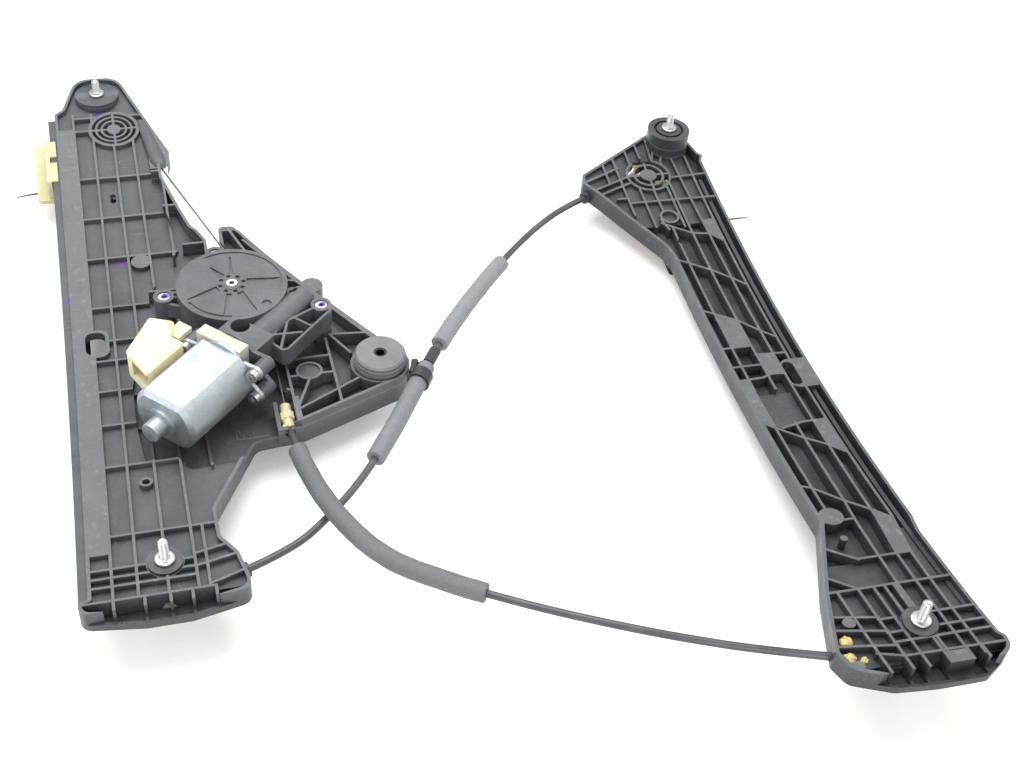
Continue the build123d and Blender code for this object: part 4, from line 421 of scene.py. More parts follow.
def dark_moulding(name, body, wear_and_highlight, roughness, dust=0.3, grain=900.0, dabs=(), bend=None):
    """Dark grained plastic with flow, scratches, dust, dabs of paint, painted shade in deep pockets and rib
    tops lighter for wear and as a painted highlight.
    """
    made, tree, shader, place = start_finish(name)
    skin = use(tree, GRAIN, place, Size=grain)
    marks = use(tree, MARKS, place)
    film = use(tree, DUST, place, Amount=dust).outputs["Film"]
    dim = tuple(value * DIM_SHARE for value in body)
    lit = tuple(value * LIT_SHARE for value in body)
    colour = blend_colour(tree, skin.outputs["Patches"], dim, lit)
    flow = combine(tree, "MULTIPLY", skin.outputs["Flow"], FLOW_SHOWS)
    colour = blend_colour(tree, flow, colour, wear_and_highlight)
    if bend:
        depth = use(tree, DEPTH, place, **bend)
        # painted shade: the deep pocket floors are darkened
        deep = combine(tree, "MULTIPLY", depth.outputs["DeepShade"], DEEP_SHADE_SHOWS)
        colour = blend_colour(tree, deep, colour, tuple(value * DEEP_SHADE_SHARE for value in body))
        # rib tops lightened for wear and as a painted highlight, then painted glints in patches
        crown = combine(tree, "MULTIPLY", depth.outputs["Crown"], CROWN_SHOWS)
        colour = blend_colour(tree, crown, colour, wear_and_highlight)
        colour = blend_colour(tree, depth.outputs["PaintedGlints"], colour, PAINTED_GLINT_WHITE)
    colour = blend_colour(tree, marks.outputs["Scratches"], colour, wear_and_highlight)
    colour = blend_colour(tree, film, colour, DUST_GREY)
    for x, y, reach in dabs:
        dab = use(tree, DAB, place, X=x * MM, Y=y * MM, Reach=reach * MM)
        colour = blend_colour(tree, dab.outputs["Dab"], colour, VIOLET)
    put(tree, shader.inputs["Base Color"], colour)
    rough = spread(tree, skin.outputs["Patches"], 0.0, 1.0, roughness - 0.07, roughness + 0.08)
    rough = combine(tree, "ADD", rough, combine(tree, "MULTIPLY", film, FILM_DULLS))
    put(tree, shader.inputs["Roughness"], rough)
    height = combine(tree, "SUBTRACT", skin.outputs["Height"], marks.outputs["Scratches"])
    raise_skin(tree, shader, height, 0.00012, 0.45)
    return made


CARRIER_GREY = (0.058, 0.060, 0.068)
SECOND_GREY = (0.028, 0.029, 0.034)
HOUSING_GREY = (0.078, 0.080, 0.092)
# grey of flow marks, scratches and worn rib tops; on the carriers' rib tops it is also a painted highlight
WEAR_AND_HIGHLIGHT_GREY = (0.165, 0.168, 0.178)
DRIVE_BEND = {"X": 0.0, "Y": 0.2476, "Z": 1.475024, "Lean": 0.0}
SECOND_BEND = {"X": 0.423449, "Y": 0.194939, "Z": 1.474991, "Lean": 0.019023}
DRIVE_DABS = [(-11.3, 481.0, 3.3), (-5.7, 308.4, 3.0), (-46.0, 270.4, 2.8)]
carrier_finish = dark_moulding("carrier_moulding", CARRIER_GREY, WEAR_AND_HIGHLIGHT_GREY, 0.44, dust=0.16,
                               dabs=DRIVE_DABS, bend=DRIVE_BEND)
second_finish = dark_moulding("second_moulding", SECOND_GREY, WEAR_AND_HIGHLIGHT_GREY, 0.40, dust=0.14, bend=SECOND_BEND)
housing_finish = dark_moulding("housing_moulding", HOUSING_GREY, WEAR_AND_HIGHLIGHT_GREY, 0.40, dust=0.20)
clip_finish = dark_moulding("clip_moulding", (0.008, 0.008, 0.009), WEAR_AND_HIGHLIGHT_GREY, 0.34, dust=0.12)
drum_finish = dark_moulding("drum_moulding", (0.012, 0.012, 0.013), WEAR_AND_HIGHLIGHT_GREY, 0.38, dust=0.05)
carbon_finish = dark_moulding("pressed_carbon", (0.015, 0.015, 0.016), WEAR_AND_HIGHLIGHT_GREY, 0.55, dust=0.0)
ferrite_finish = dark_moulding("sintered_ferrite", (0.03, 0.03, 0.032), WEAR_AND_HIGHLIGHT_GREY, 0.6, dust=0.0)
print("finishes so far", len(bpy.data.materials))

# %% [markdown]
# ## Natural plastic
# The plug housing, brush carrier, pulleys and end piece are unpainted nylon or acetal: milky, a little
# translucent, and yellowed unevenly with age. A touch of light scattering below the surface keeps them
# from looking like paint, and the yellow gathers in patches.

# %% Finish: pale mouldings
GRIME_BROWN = (0.30, 0.26, 0.18)
GLOW_WEIGHT = 0.25
GLOW_REACH = (0.002, 0.0015, 0.0008)
GLOW_SCALE = 0.5


def pale_moulding(name, fresh, aged, roughness, ageing=(0.35, 0.75), grime=0.25):
    """Milky plastic that has yellowed in patches."""
    made, tree, shader, place = start_finish(name)
    skin = use(tree, GRAIN, place, Size=700.0)
    marks = use(tree, MARKS, place)
    age = spread(tree, clouds(tree, place, 55.0, 4.0), ageing[0], ageing[1])
    colour = blend_colour(tree, age, fresh, aged)
    smear = combine(tree, "MULTIPLY", marks.outputs["Rubs"], grime)
    colour = blend_colour(tree, smear, colour, GRIME_BROWN)
    put(tree, shader.inputs["Base Color"], colour)
    put(tree, shader.inputs["Roughness"],
        spread(tree, skin.outputs["Patches"], 0.0, 1.0, roughness - 0.06, roughness + 0.08))
    shader.inputs["Subsurface Weight"].default_value = GLOW_WEIGHT
    shader.inputs["Subsurface Radius"].default_value = GLOW_REACH
    shader.inputs["Subsurface Scale"].default_value = GLOW_SCALE
    raise_skin(tree, shader, skin.outputs["Height"], 0.00008, 0.3)
    return made


plug_finish = pale_moulding("plug_nylon", (0.82, 0.79, 0.60), (0.80, 0.66, 0.27), 0.34)
holder_finish = pale_moulding("holder_nylon", (0.56, 0.56, 0.48), (0.50, 0.47, 0.33), 0.42, grime=0.4)
natural_finish = pale_moulding("natural_acetal", (0.62, 0.56, 0.36), (0.50, 0.42, 0.20), 0.38, grime=0.5)
slider_finish = pale_moulding("slider_acetal", (0.58, 0.57, 0.36), (0.44, 0.43, 0.20), 0.36)
print("finishes so far", len(bpy.data.materials))

# %% [markdown]
# ## Plated steel
# Studs and screws are zinc plated, and the motor can is drawn and then plated, so it keeps long drawing
# lines under a cloudy bloom. Metal has almost no colour of its own: what reads as grey is roughness,
# so the masks drive roughness first and tint second.

# %% Finish: plated and machined metals
OLD_OIL = (0.20, 0.17, 0.13)
BLOOM_SHOWS = 0.6
OIL_HIDES = 0.6
SCRATCH_DEPTH = -0.6


def plated(name, bright, dull, roughness, crystal=260.0, lines=0.3, stain=0.0, dabs=()):
    """Plated or machined metal with mottle, bloom and drawing lines."""
    made, tree, shader, place = start_finish(name)
    coat = use(tree, PLATING, place, Size=crystal)
    marks = use(tree, MARKS, place)
    colour = blend_colour(tree, coat.outputs["Mottle"], bright, dull)
    bloom = combine(tree, "MULTIPLY", coat.outputs["Bloom"], BLOOM_SHOWS)
    colour = blend_colour(tree, bloom, colour, tuple(0.5 * (a + b) for a, b in zip(bright, dull)))
    dirt = combine(tree, "MULTIPLY", marks.outputs["Rubs"], stain)
    colour = blend_colour(tree, dirt, colour, OLD_OIL)
    metal = combine(tree, "SUBTRACT", 1.0, combine(tree, "MULTIPLY", dirt, OIL_HIDES))
    for x, y, reach in dabs:
        dab = use(tree, DAB, place, X=x * MM, Y=y * MM, Reach=reach * MM).outputs["Dab"]
        colour = blend_colour(tree, dab, colour, VIOLET)
        metal = combine(tree, "MULTIPLY", metal, combine(tree, "SUBTRACT", 1.0, dab))
    put(tree, shader.inputs["Base Color"], colour)
    put(tree, shader.inputs["Metallic"], metal)
    rough = spread(tree, coat.outputs["Bloom"], 0.0, 1.0, roughness, roughness + 0.16)
    streak = combine(tree, "MULTIPLY", coat.outputs["Lines"], lines * 0.5)
    put(tree, shader.inputs["Roughness"], combine(tree, "ADD", rough, streak))
    height = combine(tree, "ADD", combine(tree, "MULTIPLY", coat.outputs["Lines"], lines),
                     combine(tree, "MULTIPLY", marks.outputs["Scratches"], SCRATCH_DEPTH))
    raise_skin(tree, shader, height, 0.00006, 0.35)
    return made


EAR_SCREWS = ((60.3, 271.4), (20.2, 230.1), (125.9, 203.3))
EAR_DAB_SHIFT = (1.2, 0.6)
EAR_DAB_REACH = 3.0
ear_dabs = [(x + EAR_DAB_SHIFT[0], y + EAR_DAB_SHIFT[1], EAR_DAB_REACH) for x, y in EAR_SCREWS]
can_finish = plated("can_plating", (0.43, 0.465, 0.485), (0.36, 0.39, 0.41), 0.24, 700.0, 1.0, 0.16)
zinc_finish = plated("zinc_fasteners", (0.52, 0.52, 0.52), (0.34, 0.34, 0.35), 0.26, 900.0, 0.2, 0.2)
ear_finish = plated("ear_screws", (0.50, 0.50, 0.50), (0.32, 0.32, 0.34), 0.30, 900.0, 0.2, 0.3, ear_dabs)
ground_finish = plated("ground_steel", (0.72, 0.72, 0.72), (0.60, 0.60, 0.61), 0.16, 1200.0, 0.5)
spring_finish = plated("spring_steel", (0.16, 0.15, 0.12), (0.07, 0.065, 0.05), 0.30, 1200.0, 0.6)
black_finish = plated("black_coated", (0.05, 0.05, 0.055), (0.03, 0.03, 0.032), 0.42, 700.0, 0.2, 0.1)
bronze_finish = plated("sintered_bronze", (0.60, 0.42, 0.20), (0.40, 0.27, 0.12), 0.42, 1500.0, 0.1, 0.2)
copper_finish = plated("turned_copper", (0.86, 0.50, 0.34), (0.60, 0.32, 0.20), 0.24, 1400.0, 0.5, 0.1)
wire_finish = plated("wire_rope_steel", (0.22, 0.22, 0.21), (0.10, 0.10, 0.10), 0.34, 1800.0, 0.8, 0.2)
print("finishes so far", len(bpy.data.materials))

# %% [markdown]
# ## Rubber, foam and conduit jacket
# Moulded rubber is dull and grey with a slight bloom, foam is duller still with pale rubs, and the
# conduit's jacket is smooth extruded plastic that catches a long soft highlight.

# %% Finish: rubber, foam and jacket
def rubber_material(name, body, bloom, roughness):
    """Dull rubber with a pale bloom."""
    made, tree, shader, place = start_finish(name)
    skin = use(tree, GRAIN, place, Size=1300.0)
    film = use(tree, DUST, place, Amount=0.35).outputs["Film"]
    pale = combine(tree, "MULTIPLY", skin.outputs["Patches"], 0.7)
    colour = blend_colour(tree, pale, body, bloom)
    put(tree, shader.inputs["Base Color"], blend_colour(tree, film, colour, DUST_GREY))
    put(tree, shader.inputs["Roughness"],
        spread(tree, skin.outputs["Patches"], 0.0, 1.0, roughness, roughness + 0.15))
    raise_skin(tree, shader, skin.outputs["Height"], 0.00015, 0.5)
    return made


FOAM_TONES = (0.12, 0.17, 0.21)
RUBBED_SHARE = 1.6
PALEST_FOAM = 0.6


def foam_material(name, tone):
    """Grey foam with cells and rubbed patches; tone is how pale it has gone."""
    made, tree, shader, place = start_finish(name)
    skin = use(tree, FOAM, place, Size=650.0)
    film = use(tree, DUST, place, Amount=0.2).outputs["Film"]
    rubs = combine(tree, "MULTIPLY", skin.outputs["Rubs"], 0.55)
    body = (tone * 0.97, tone, tone * 1.05)
    rubbed = tuple(min(PALEST_FOAM, value * RUBBED_SHARE) for value in body)
    colour = blend_colour(tree, rubs, body, rubbed)
    put(tree, shader.inputs["Base Color"], blend_colour(tree, film, colour, DUST_GREY))
    put(tree, shader.inputs["Roughness"], spread(tree, skin.outputs["Rubs"], 0.0, 1.0, 0.62, 0.85))
    raise_skin(tree, shader, skin.outputs["Height"], 0.0004, 0.6)
    return made


def jacket_material(name):
    """Smooth extruded jacket with faint lengthwise die lines."""
    made, tree, shader, place = start_finish(name)
    skin = use(tree, GRAIN, place, Size=1500.0)
    marks = use(tree, MARKS, place)
    colour = blend_colour(tree, skin.outputs["Patches"], (0.045, 0.045, 0.048), (0.075, 0.075, 0.080))
    colour = blend_colour(tree, marks.outputs["Rubs"], colour, (0.15, 0.15, 0.155))
    put(tree, shader.inputs["Base Color"], colour)
    put(tree, shader.inputs["Roughness"],
        spread(tree, marks.outputs["Rubs"], 0.0, 1.0, 0.30, 0.48))
    raise_skin(tree, shader, skin.outputs["Height"], 0.00005, 0.3)
    return made


rubber_finish = rubber_material("moulded_rubber", (0.120, 0.120, 0.125), (0.22, 0.22, 0.23), 0.55)
washer_finish = rubber_material("washer_rubber", (0.018, 0.018, 0.020), (0.045, 0.045, 0.048), 0.42)
foam_finishes = [foam_material(f"foam_sleeve_skin_{index}", tone) for index, tone in enumerate(FOAM_TONES)]
jacket_finish = jacket_material("conduit_jacket")
print("finishes so far", len(bpy.data.materials))

# %% [markdown]
# ## Dressing the fixed pieces
# The nodes that come with the frame keep their shapes. Each one is given the finish of its real
# material, in one table, so that a change of finish is a change of one word.

# %% Finishes of the fixed pieces
node_finish = {
    "drive_carrier": carrier_finish, "second_carrier": second_finish,
    "stud_washers": washer_finish, "drive_top_pulley": natural_finish,
    "second_top_pulley": natural_finish, "pulley_pins": zinc_finish,
    "drive_lower_guide": natural_finish, "second_lower_guide": natural_finish,
    "drive_slider": slider_finish, "second_slider": slider_finish,
    "drive_clamp_jaw": black_finish, "second_clamp_jaw": black_finish,
    "drive_clamp_pads": washer_finish, "second_clamp_pads": washer_finish,
    "drive_clamp_screw": zinc_finish, "second_clamp_screw": zinc_finish,
    "drive_spring_strip": spring_finish, "second_spring_strip": spring_finish,
    "drive_cable_saddle": zinc_finish, "second_cable_saddle": zinc_finish,
    "cable_drum": drum_finish, "worm_wheel": natural_finish, "hub_pin": ground_finish,
    "gear_housing": housing_finish, "gear_housing_base": housing_finish,
    "housing_screws": ear_finish, "armature_shaft": ground_finish,
    "armature_core": ferrite_finish, "commutator": copper_finish, "motor_can": can_finish,
    "field_magnets": ferrite_finish, "end_bearing": bronze_finish, "worm_bush": bronze_finish,
    "brush_holder": holder_finish, "carbon_brushes": carbon_finish,
    "flange_screws": zinc_finish, "connector_block": plug_finish,
    "connector_pins": copper_finish, "rubber_mount": rubber_finish,
    "mount_sleeve": black_finish, "cable_adjuster": natural_finish, "cable_clip": clip_finish,
    "upper_cable": wire_finish, "lower_cable": wire_finish, "linking_cable": wire_finish,
    "second_lower_cable": wire_finish, "second_upper_cable": wire_finish,
    "mounting_studs": zinc_finish,
}


def dress(piece, finish):
    """Gives a piece one finish in all its material slots."""
    if not piece.material_slots:
        piece.data.materials.append(finish)
    for slot in piece.material_slots:
        slot.material = finish


for name, finish in node_finish.items():
    dress(parts[name], finish)
print("dressed", len(node_finish), "of", len(parts))

# %% [markdown]
# ## Places in the shared frame
# Heights on this machine are easiest to think of from the rib tops of the drive carrier, and the shared
# origin lies a little higher, where the door panel meets the lower stud's flange.

# %% From millimetres above the rib tops to the shared frame
PANEL_SEAT = 4.4


def placed(x, y, z):
    """Point of the shared frame in metres."""
    return Vector((x, y, z - PANEL_SEAT)) * MM


def add_piece(name, data, body, finish):
    """Links a finished piece, lets it ride on a body and gives it its finish."""
    piece = bpy.data.objects.new(name, data)
    bpy.context.scene.collection.objects.link(piece)
    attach(piece, body)
    dress(piece, finish)
    return piece


def finished_mesh(name, shape, smooth_below=40.0):
    """Mesh from a bmesh, with edges sharper than an angle kept crisp."""
    bmesh.ops.remove_doubles(shape, verts=shape.verts, dist=1e-7)
    bmesh.ops.recalc_face_normals(shape, faces=shape.faces)
    for face in shape.faces:
        face.smooth = True
    for edge in shape.edges:
        sharp = edge.is_manifold and edge.calc_face_angle(0.0) > math.radians(smooth_below)
        edge.smooth = not sharp
    mesh = bpy.data.meshes.new(name)
    shape.to_mesh(mesh)
    shape.free()
    return mesh


print("origin is", PANEL_SEAT, "mm above the rib tops")

# %% [markdown]
# ## Conduits
# Each drive cable runs between the rails inside a stiff jacketed conduit, a Bowden cable's outer. A
# conduit holds one smooth curve from socket to socket, so each is one smooth spline through a few
# points, as a fitter would bend it, with a round section, and not a chain of bent pipe.

# %% Two conduits as smooth splines
CONDUIT_D = 5.0
POINTS_A_SPAN = 16
ROUNDNESS = 6
FIRST_ROUTE = [
    (89.2, 112, -15), (91, 82, -11.5), (97, 44, -4), (107, 9, 1.5), (126.5, -25.6, 3), (158, -50, 4),
    (198.2, -75.3, 5), (239.7, -98.1, 6), (283, -119.3, 7), (326.3, -137.4, 7.5), (370.8, -152, 7.8),
]
SECOND_ROUTE = [
    (38, -10.5, -9.3), (74, 1.5, -9), (101, 23.5, -9), (128, 52, -9), (150.5, 84, -9),
    (172, 117.5, -9), (197, 158.5, -9.5), (224, 196, -11), (253, 232.5, -13.5), (285, 270, -17),
    (316, 301, -20), (344, 323.5, -22.8), (371, 338, -25),
]


def route_curve(name, route, radius=0.0):
    """Smooth open spline whose control points are the route's, each with the section's radius."""
    curve = bpy.data.curves.new(name, "CURVE")
    curve.dimensions = "3D"
    curve.resolution_u = POINTS_A_SPAN
    curve.bevel_depth = 1.0 if radius else 0.0
    curve.bevel_resolution = ROUNDNESS
    curve.use_fill_caps = radius > 0
    line = curve.splines.new("NURBS")
    line.points.add(len(route) - 1)
    for point, place in zip(line.points, route):
        point.co = (*placed(*place), 1.0)
        point.radius = radius
    line.order_u = 3
    line.use_endpoint_u = True
    return curve


for name, route, node_name in (("conduit_first", FIRST_ROUTE, "first_conduit"),
                               ("conduit_second", SECOND_ROUTE, "second_conduit")):
    conduit = add_piece(name, route_curve(name, route, 0.5 * CONDUIT_D * MM), "frame", jacket_finish)
    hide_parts(node_name)

# %% [markdown]
# ## Foam sleeves
# Foam tubes are pushed over the conduits where they would touch the door. A sleeve could be a thicker
# curve, but foam swells and dents, so each is a row of rings along the conduit's own spline, with the
# radius varied by noise, bridged into a skin and closed by flat cut ends around the conduit.

# %% Sleeves along the splines
FOAM_D = 12.5
SLEEVE_BORE = 5.3
CUT_CHAMFER = 1.2
CUT_INSET = 0.6
FOAM_WOBBLE = 0.32
SLEEVE_STEP = 2.5
FEWEST_STEPS = 8
SLOW_DENTS = (90.0, 0.6)
QUICK_DENTS = (260.0, 0.4)
RING_CORNERS = 40
COLLAR_D = 8.4
COLLAR_SPAN = (0.461, 0.493)
FOAM_SPANS = (
    ("foam_first", FIRST_ROUTE, (0.062, 0.498), "foam_sleeve_first"),
    ("foam_lower", SECOND_ROUTE, (0.263, 0.455), "foam_sleeve_lower"),
    ("foam_upper", SECOND_ROUTE, (0.507, 0.733), "foam_sleeve_upper"),
)


def spline_points(name, route):
    """Points read from the route's smooth spline, and the length up to each."""
    holder = bpy.data.objects.new(name, route_curve(name, route))
    mesh = bpy.data.meshes.new_from_object(holder)
    points = [vertex.co.copy() for vertex in mesh.vertices]
    bpy.data.objects.remove(holder)
    bpy.data.meshes.remove(mesh)
    lengths = [0.0]
    for before, after in zip(points, points[1:]):
        lengths.append(lengths[-1] + (after - before).length)
    return points, lengths


def point_at(points, lengths, distance):
    """Point and direction at a distance along the points."""
    for index in range(1, len(points)):
        if lengths[index] >= distance or index == len(points) - 1:
            start, end = points[index - 1], points[index]
            share = (distance - lengths[index - 1]) / (lengths[index] - lengths[index - 1])
            return start.lerp(end, share), (end - start).normalized()


def ring_at(shape, centre, way, radius):
    """One ring of vertices across a direction; returns its edges."""
    turn = way.to_track_quat("Z", "Y").to_matrix().to_4x4()
    made = bmesh.ops.create_circle(shape, segments=RING_CORNERS, radius=radius,
                                   matrix=Matrix.Translation(centre) @ turn)
    return list({edge for vertex in made["verts"] for edge in vertex.link_edges})


def dent(vertex, centre, wobble):
    """Moves a vertex in or out by two sizes of noise."""
    lean = sum(noise.noise(vertex.co * scale) * share for scale, share in (SLOW_DENTS, QUICK_DENTS))
    vertex.co += (vertex.co - centre).normalized() * lean * wobble * MM


def sleeve_mesh(name, route, span, outer, wobble):
    """Tube along a span of a route, given as two shares of its length; its cut ends stop at the bore."""
    points, lengths = spline_points(name + "_line", route)
    total = lengths[-1]
    start, end = span
    count = max(FEWEST_STEPS, round((end - start) * total / (SLEEVE_STEP * MM)))
    inset = CUT_INSET * MM / ((end - start) * total)
    shape = bmesh.new()
    stations = [(0.0, SLEEVE_BORE), (0.0, outer - CUT_CHAMFER)]
    stations += [(index / count, outer) for index in range(count + 1)]
    stations += [(1.0, outer - CUT_CHAMFER), (1.0, SLEEVE_BORE)]
    last = None
    for share, diameter in stations:
        along = min(max(share, inset), 1.0 - inset) if diameter == outer else share
        centre, way = point_at(points, lengths, (start + (end - start) * along) * total)
        edges = ring_at(shape, centre, way, 0.5 * diameter * MM)
        if diameter == outer:
            for vertex in {v for edge in edges for v in edge.verts}:
                dent(vertex, centre, wobble)
        if last:
            bmesh.ops.bridge_loops(shape, edges=last + edges)
        last = edges
    return finished_mesh(name, shape)


for (name, route, span, owner), finish in zip(FOAM_SPANS, foam_finishes):
    sleeve = add_piece(name, sleeve_mesh(name, route, span, FOAM_D, FOAM_WOBBLE), "frame", finish)
    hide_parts(owner)
collar = add_piece("ferrule_collar", sleeve_mesh("ferrule_collar", SECOND_ROUTE, COLLAR_SPAN, COLLAR_D, 0.0),
                   "frame", clip_finish)
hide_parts("conduit_ferrule")

# %% [markdown]
# ## Shapes that follow the bend
# A plate on a bent rail has to bend with it, or it lifts off at its ends. Each of these shapes is a row
# of closed sections, bridged and filled at both ends: they sit on the bent surface, so the solid follows.

# %% Sections on the bent surface
BEND_RADIUS = RAIL_RADIUS / MM
DRIVE_ARC = 247.6
SECOND_ARC = 339.0
SECOND_PLACE = (417.0, -144.0, 18.2)
SECOND_TURN = math.radians(-1.09)


def surface_z(y, rise, arc):
    """Height of the bent surface that lies rise above the rib tops, in millimetres."""
    level = math.sqrt(BEND_RADIUS ** 2 - arc ** 2)
    return level - math.sqrt((BEND_RADIUS - rise) ** 2 - (y - arc) ** 2)


def on_second(x, y, z):
    """Point of the shared frame from the second carrier's own millimetres."""
    turned = Matrix.Rotation(SECOND_TURN, 3, "Z") @ Vector((x, y, z))
    return placed(*(turned + Vector(SECOND_PLACE)))


def section_loop(shape, section):
    """Closed loop of edges through a section's corners."""
    corners = [shape.verts.new(point) for point in section]
    return [shape.edges.new(pair) for pair in zip(corners, corners[1:] + corners[:1])]


def skin(name, sections, smooth_below=40.0):
    """Closed solid through a row of sections with the same number of corners."""
    shape = bmesh.new()
    loops = [section_loop(shape, section) for section in sections]
    for before, after in zip(loops, loops[1:]):
        bmesh.ops.bridge_loops(shape, edges=before + after)
    for end in (loops[0], loops[-1]):
        bmesh.ops.edgeloop_fill(shape, edges=end)
    return finished_mesh(name, shape, smooth_below)


def bent_plate(name, stations, top, thick, arc, where):
    """Plate with its top at a depth below the rib tops; stations give y and both edges in x."""
    sections = []
    for y, left, right in stations:
        high, low = surface_z(y, -top, arc), surface_z(y, -top - thick, arc)
        corners = ((left, high), (right, high), (right, low), (left, low))
        sections.append([where(x, y, z) for x, z in corners])
    return skin(name, sections)


print("second carrier's stud at", [round(v, 4) for v in on_second(0, 0, 0)])

# %% [markdown]
# ## Webs and the cable cover
# The moulding tool leaves thin webs between the deep pockets of the front and the hollows of the back.
# They close the pockets beside the cable's flap, along the second carrier's upper edge and at its foot.
# Over the cable, where it leaves the drive carrier, a half-round cover swells out of the flap.

# %% Webs between front and back
WEB_THICK = 1.4
FLAP_WEB_TOP = 4.3
FLAP_WEB_SIDES = (18.4, 24.7)
EDGE_WEB_TOP = 8.8
EDGE_WEB_SIDES = (30.6, 42.8)
FOOT_WEB_TOP = 7.0
FOOT_WEB_DEEP = 6.4
FOOT_WEB_ROWS = ((-26.3, -53.4, 41.4), (-25.2, -53.0, 41.4))

flap_rows = [(y, *FLAP_WEB_SIDES) for y in range(409, 472, 6)]
edge_rows = [(y, *EDGE_WEB_SIDES) for y in range(431, 498, 6)]
edge_rows += [(503, 30.6, 44.2), (508, 30.6, 42.0), (529, 30.6, 35.6)]
for name, rows, top, thick, arc, where, finish in (
        ("flap_web", flap_rows, FLAP_WEB_TOP, WEB_THICK, DRIVE_ARC, placed, carrier_finish),
        ("edge_web", edge_rows, EDGE_WEB_TOP, WEB_THICK, SECOND_ARC, on_second, second_finish),
        ("foot_web", FOOT_WEB_ROWS, FOOT_WEB_TOP, FOOT_WEB_DEEP, SECOND_ARC, on_second, second_finish)):
    web = add_piece(name, bent_plate(name, rows, top, thick, arc, where), "frame", finish)
    print(name, "corners", len(web.data.vertices))

# %% Cover over the cable
COVER_FROM = Vector((22.0, 466.0, 0.0))
COVER_TO = Vector((32.5, 409.0, 0.0))
COVER_STATIONS = 24
COVER_ROUND_FROM = 0.82
COVER_HALF = (3.6, 6.6, 0.25)
COVER_RISE = (1.2, 4.2, 0.12)
COVER_SUNK = 1.2
ARCH_STEPS = 16


def swelling(sizes, share, round_end):
    """A size that grows along the cover and shrinks to its least share at the round end."""
    start, end, least = sizes
    return (start + (end - start) * share) * max(least, round_end)


def cover_section(share):
    """Arch on a short foot at one station of the cover."""
    centre = COVER_FROM.lerp(COVER_TO, share)
    past = max(0.0, (share - COVER_ROUND_FROM) / (1.0 - COVER_ROUND_FROM))
    round_end = math.sqrt(max(0.0, 1.0 - past ** 2))
    half = swelling(COVER_HALF, share, round_end)
    rise = swelling(COVER_RISE, share, round_end)
    base = surface_z(centre.y, 0.0, DRIVE_ARC) - COVER_SUNK
    turns = [math.pi * step / ARCH_STEPS for step in range(ARCH_STEPS + 1)]
    arch = [(half * math.cos(turn), COVER_SUNK + rise * math.sin(turn)) for turn in turns]
    outline = [(half, 0.0), *arch, (-half, 0.0)]
    return [placed(centre.x + x, centre.y, base + z) for x, z in outline]


cover_rows = [cover_section(index / COVER_STATIONS) for index in range(COVER_STATIONS + 1)]
cover = add_piece("cable_cover", skin("cable_cover", cover_rows, 55.0), "frame", carrier_finish)
print("cover corners", len(cover.data.vertices))

# %% [markdown]
# ## Cable keeper
# Through the second carrier's grille a pale plate shows beyond the pulley's rim. It keeps the cable in
# its groove. It could be a whole ring, but a sector is enough: it lies flat just under the carrier's
# floor, clear of the turning pulley.

# %% Ring sector beyond the pulley
KEEPER_CENTRE = (-6.5, 486.0)
KEEPER_INNER = 19.4
KEEPER_OUTER = 30.0
KEEPER_TURNS = (math.radians(55.0), math.radians(138.0))
KEEPER_STATIONS = 28
KEEPER_TOP = 6.5
KEEPER_THICK = 1.2


def keeper_section(share):
    """Section across the sector at one station of its arc."""
    turn = KEEPER_TURNS[0] + (KEEPER_TURNS[1] - KEEPER_TURNS[0]) * share
    corners = ((KEEPER_INNER, KEEPER_TOP), (KEEPER_OUTER, KEEPER_TOP),
               (KEEPER_OUTER, KEEPER_TOP + KEEPER_THICK), (KEEPER_INNER, KEEPER_TOP + KEEPER_THICK))
    section = []
    for reach, depth in corners:
        x = KEEPER_CENTRE[0] + reach * math.cos(turn)
        y = KEEPER_CENTRE[1] + reach * math.sin(turn)
        section.append(on_second(x, y, surface_z(y, -depth, SECOND_ARC)))
    return section


keeper_rows = [keeper_section(index / KEEPER_STATIONS) for index in range(KEEPER_STATIONS + 1)]
keeper = add_piece("cable_keeper", skin("cable_keeper", keeper_rows), "frame", natural_finish)
print("keeper corners", len(keeper.data.vertices))

# %% [markdown]
# ## Threaded studs
# An M6 thread rises one millimetre a turn. A stack of plain circles would look right only from afar, so
# the radius also depends on the angle: the ridge climbs round the stud as a true helix does. The rings
# are bridged while they are still a plain tube, because two rings at one height, as at the tip, can be
# joined crosswise. Each is then moved into place, up to the chamfer and the small dimple of the tip.

# %% Rings of a stud with a helical thread
PITCH = 1.0
RINGS_A_TURN = 8
THREAD_DEPTH = 0.6
THREAD_FROM = 3.2
STUD_RADIUS = 3.0
STUD_CHAMFER = 0.7
STUD_CORNERS = 32
FLANGE_PROFILE = ((5.8, 0.0), (6.2, 0.35), (6.2, 1.9), (5.8, 2.3), (4.4, 2.4), (3.3, 2.5), (2.7, 2.9))
TIP_PROFILE = ((1.2, 0.0), (0.5, -0.5))


def thread_radius(turn, height, top):
    """Radius of the ridge at an angle and a height above the seat."""
    phase = (height / PITCH - turn / (2 * math.pi)) % 1.0
    depth = THREAD_DEPTH * (1.0 - abs(2.0 * phase - 1.0))
    chamfer = max(0.0, height - (top - STUD_CHAMFER))
    return min(STUD_RADIUS - depth, STUD_RADIUS - chamfer)


def stud_rows(reach):
    """Height and radius of each ring from the flange to the tip; a thread's ring has no one radius."""
    count = round((reach - THREAD_FROM) * RINGS_A_TURN / PITCH)
    rows = [(height, radius) for radius, height in FLANGE_PROFILE]
    rows += [(THREAD_FROM + (reach - THREAD_FROM) * index / count, None) for index in range(count + 1)]
    return rows + [(reach + rise, radius) for radius, rise in TIP_PROFILE]


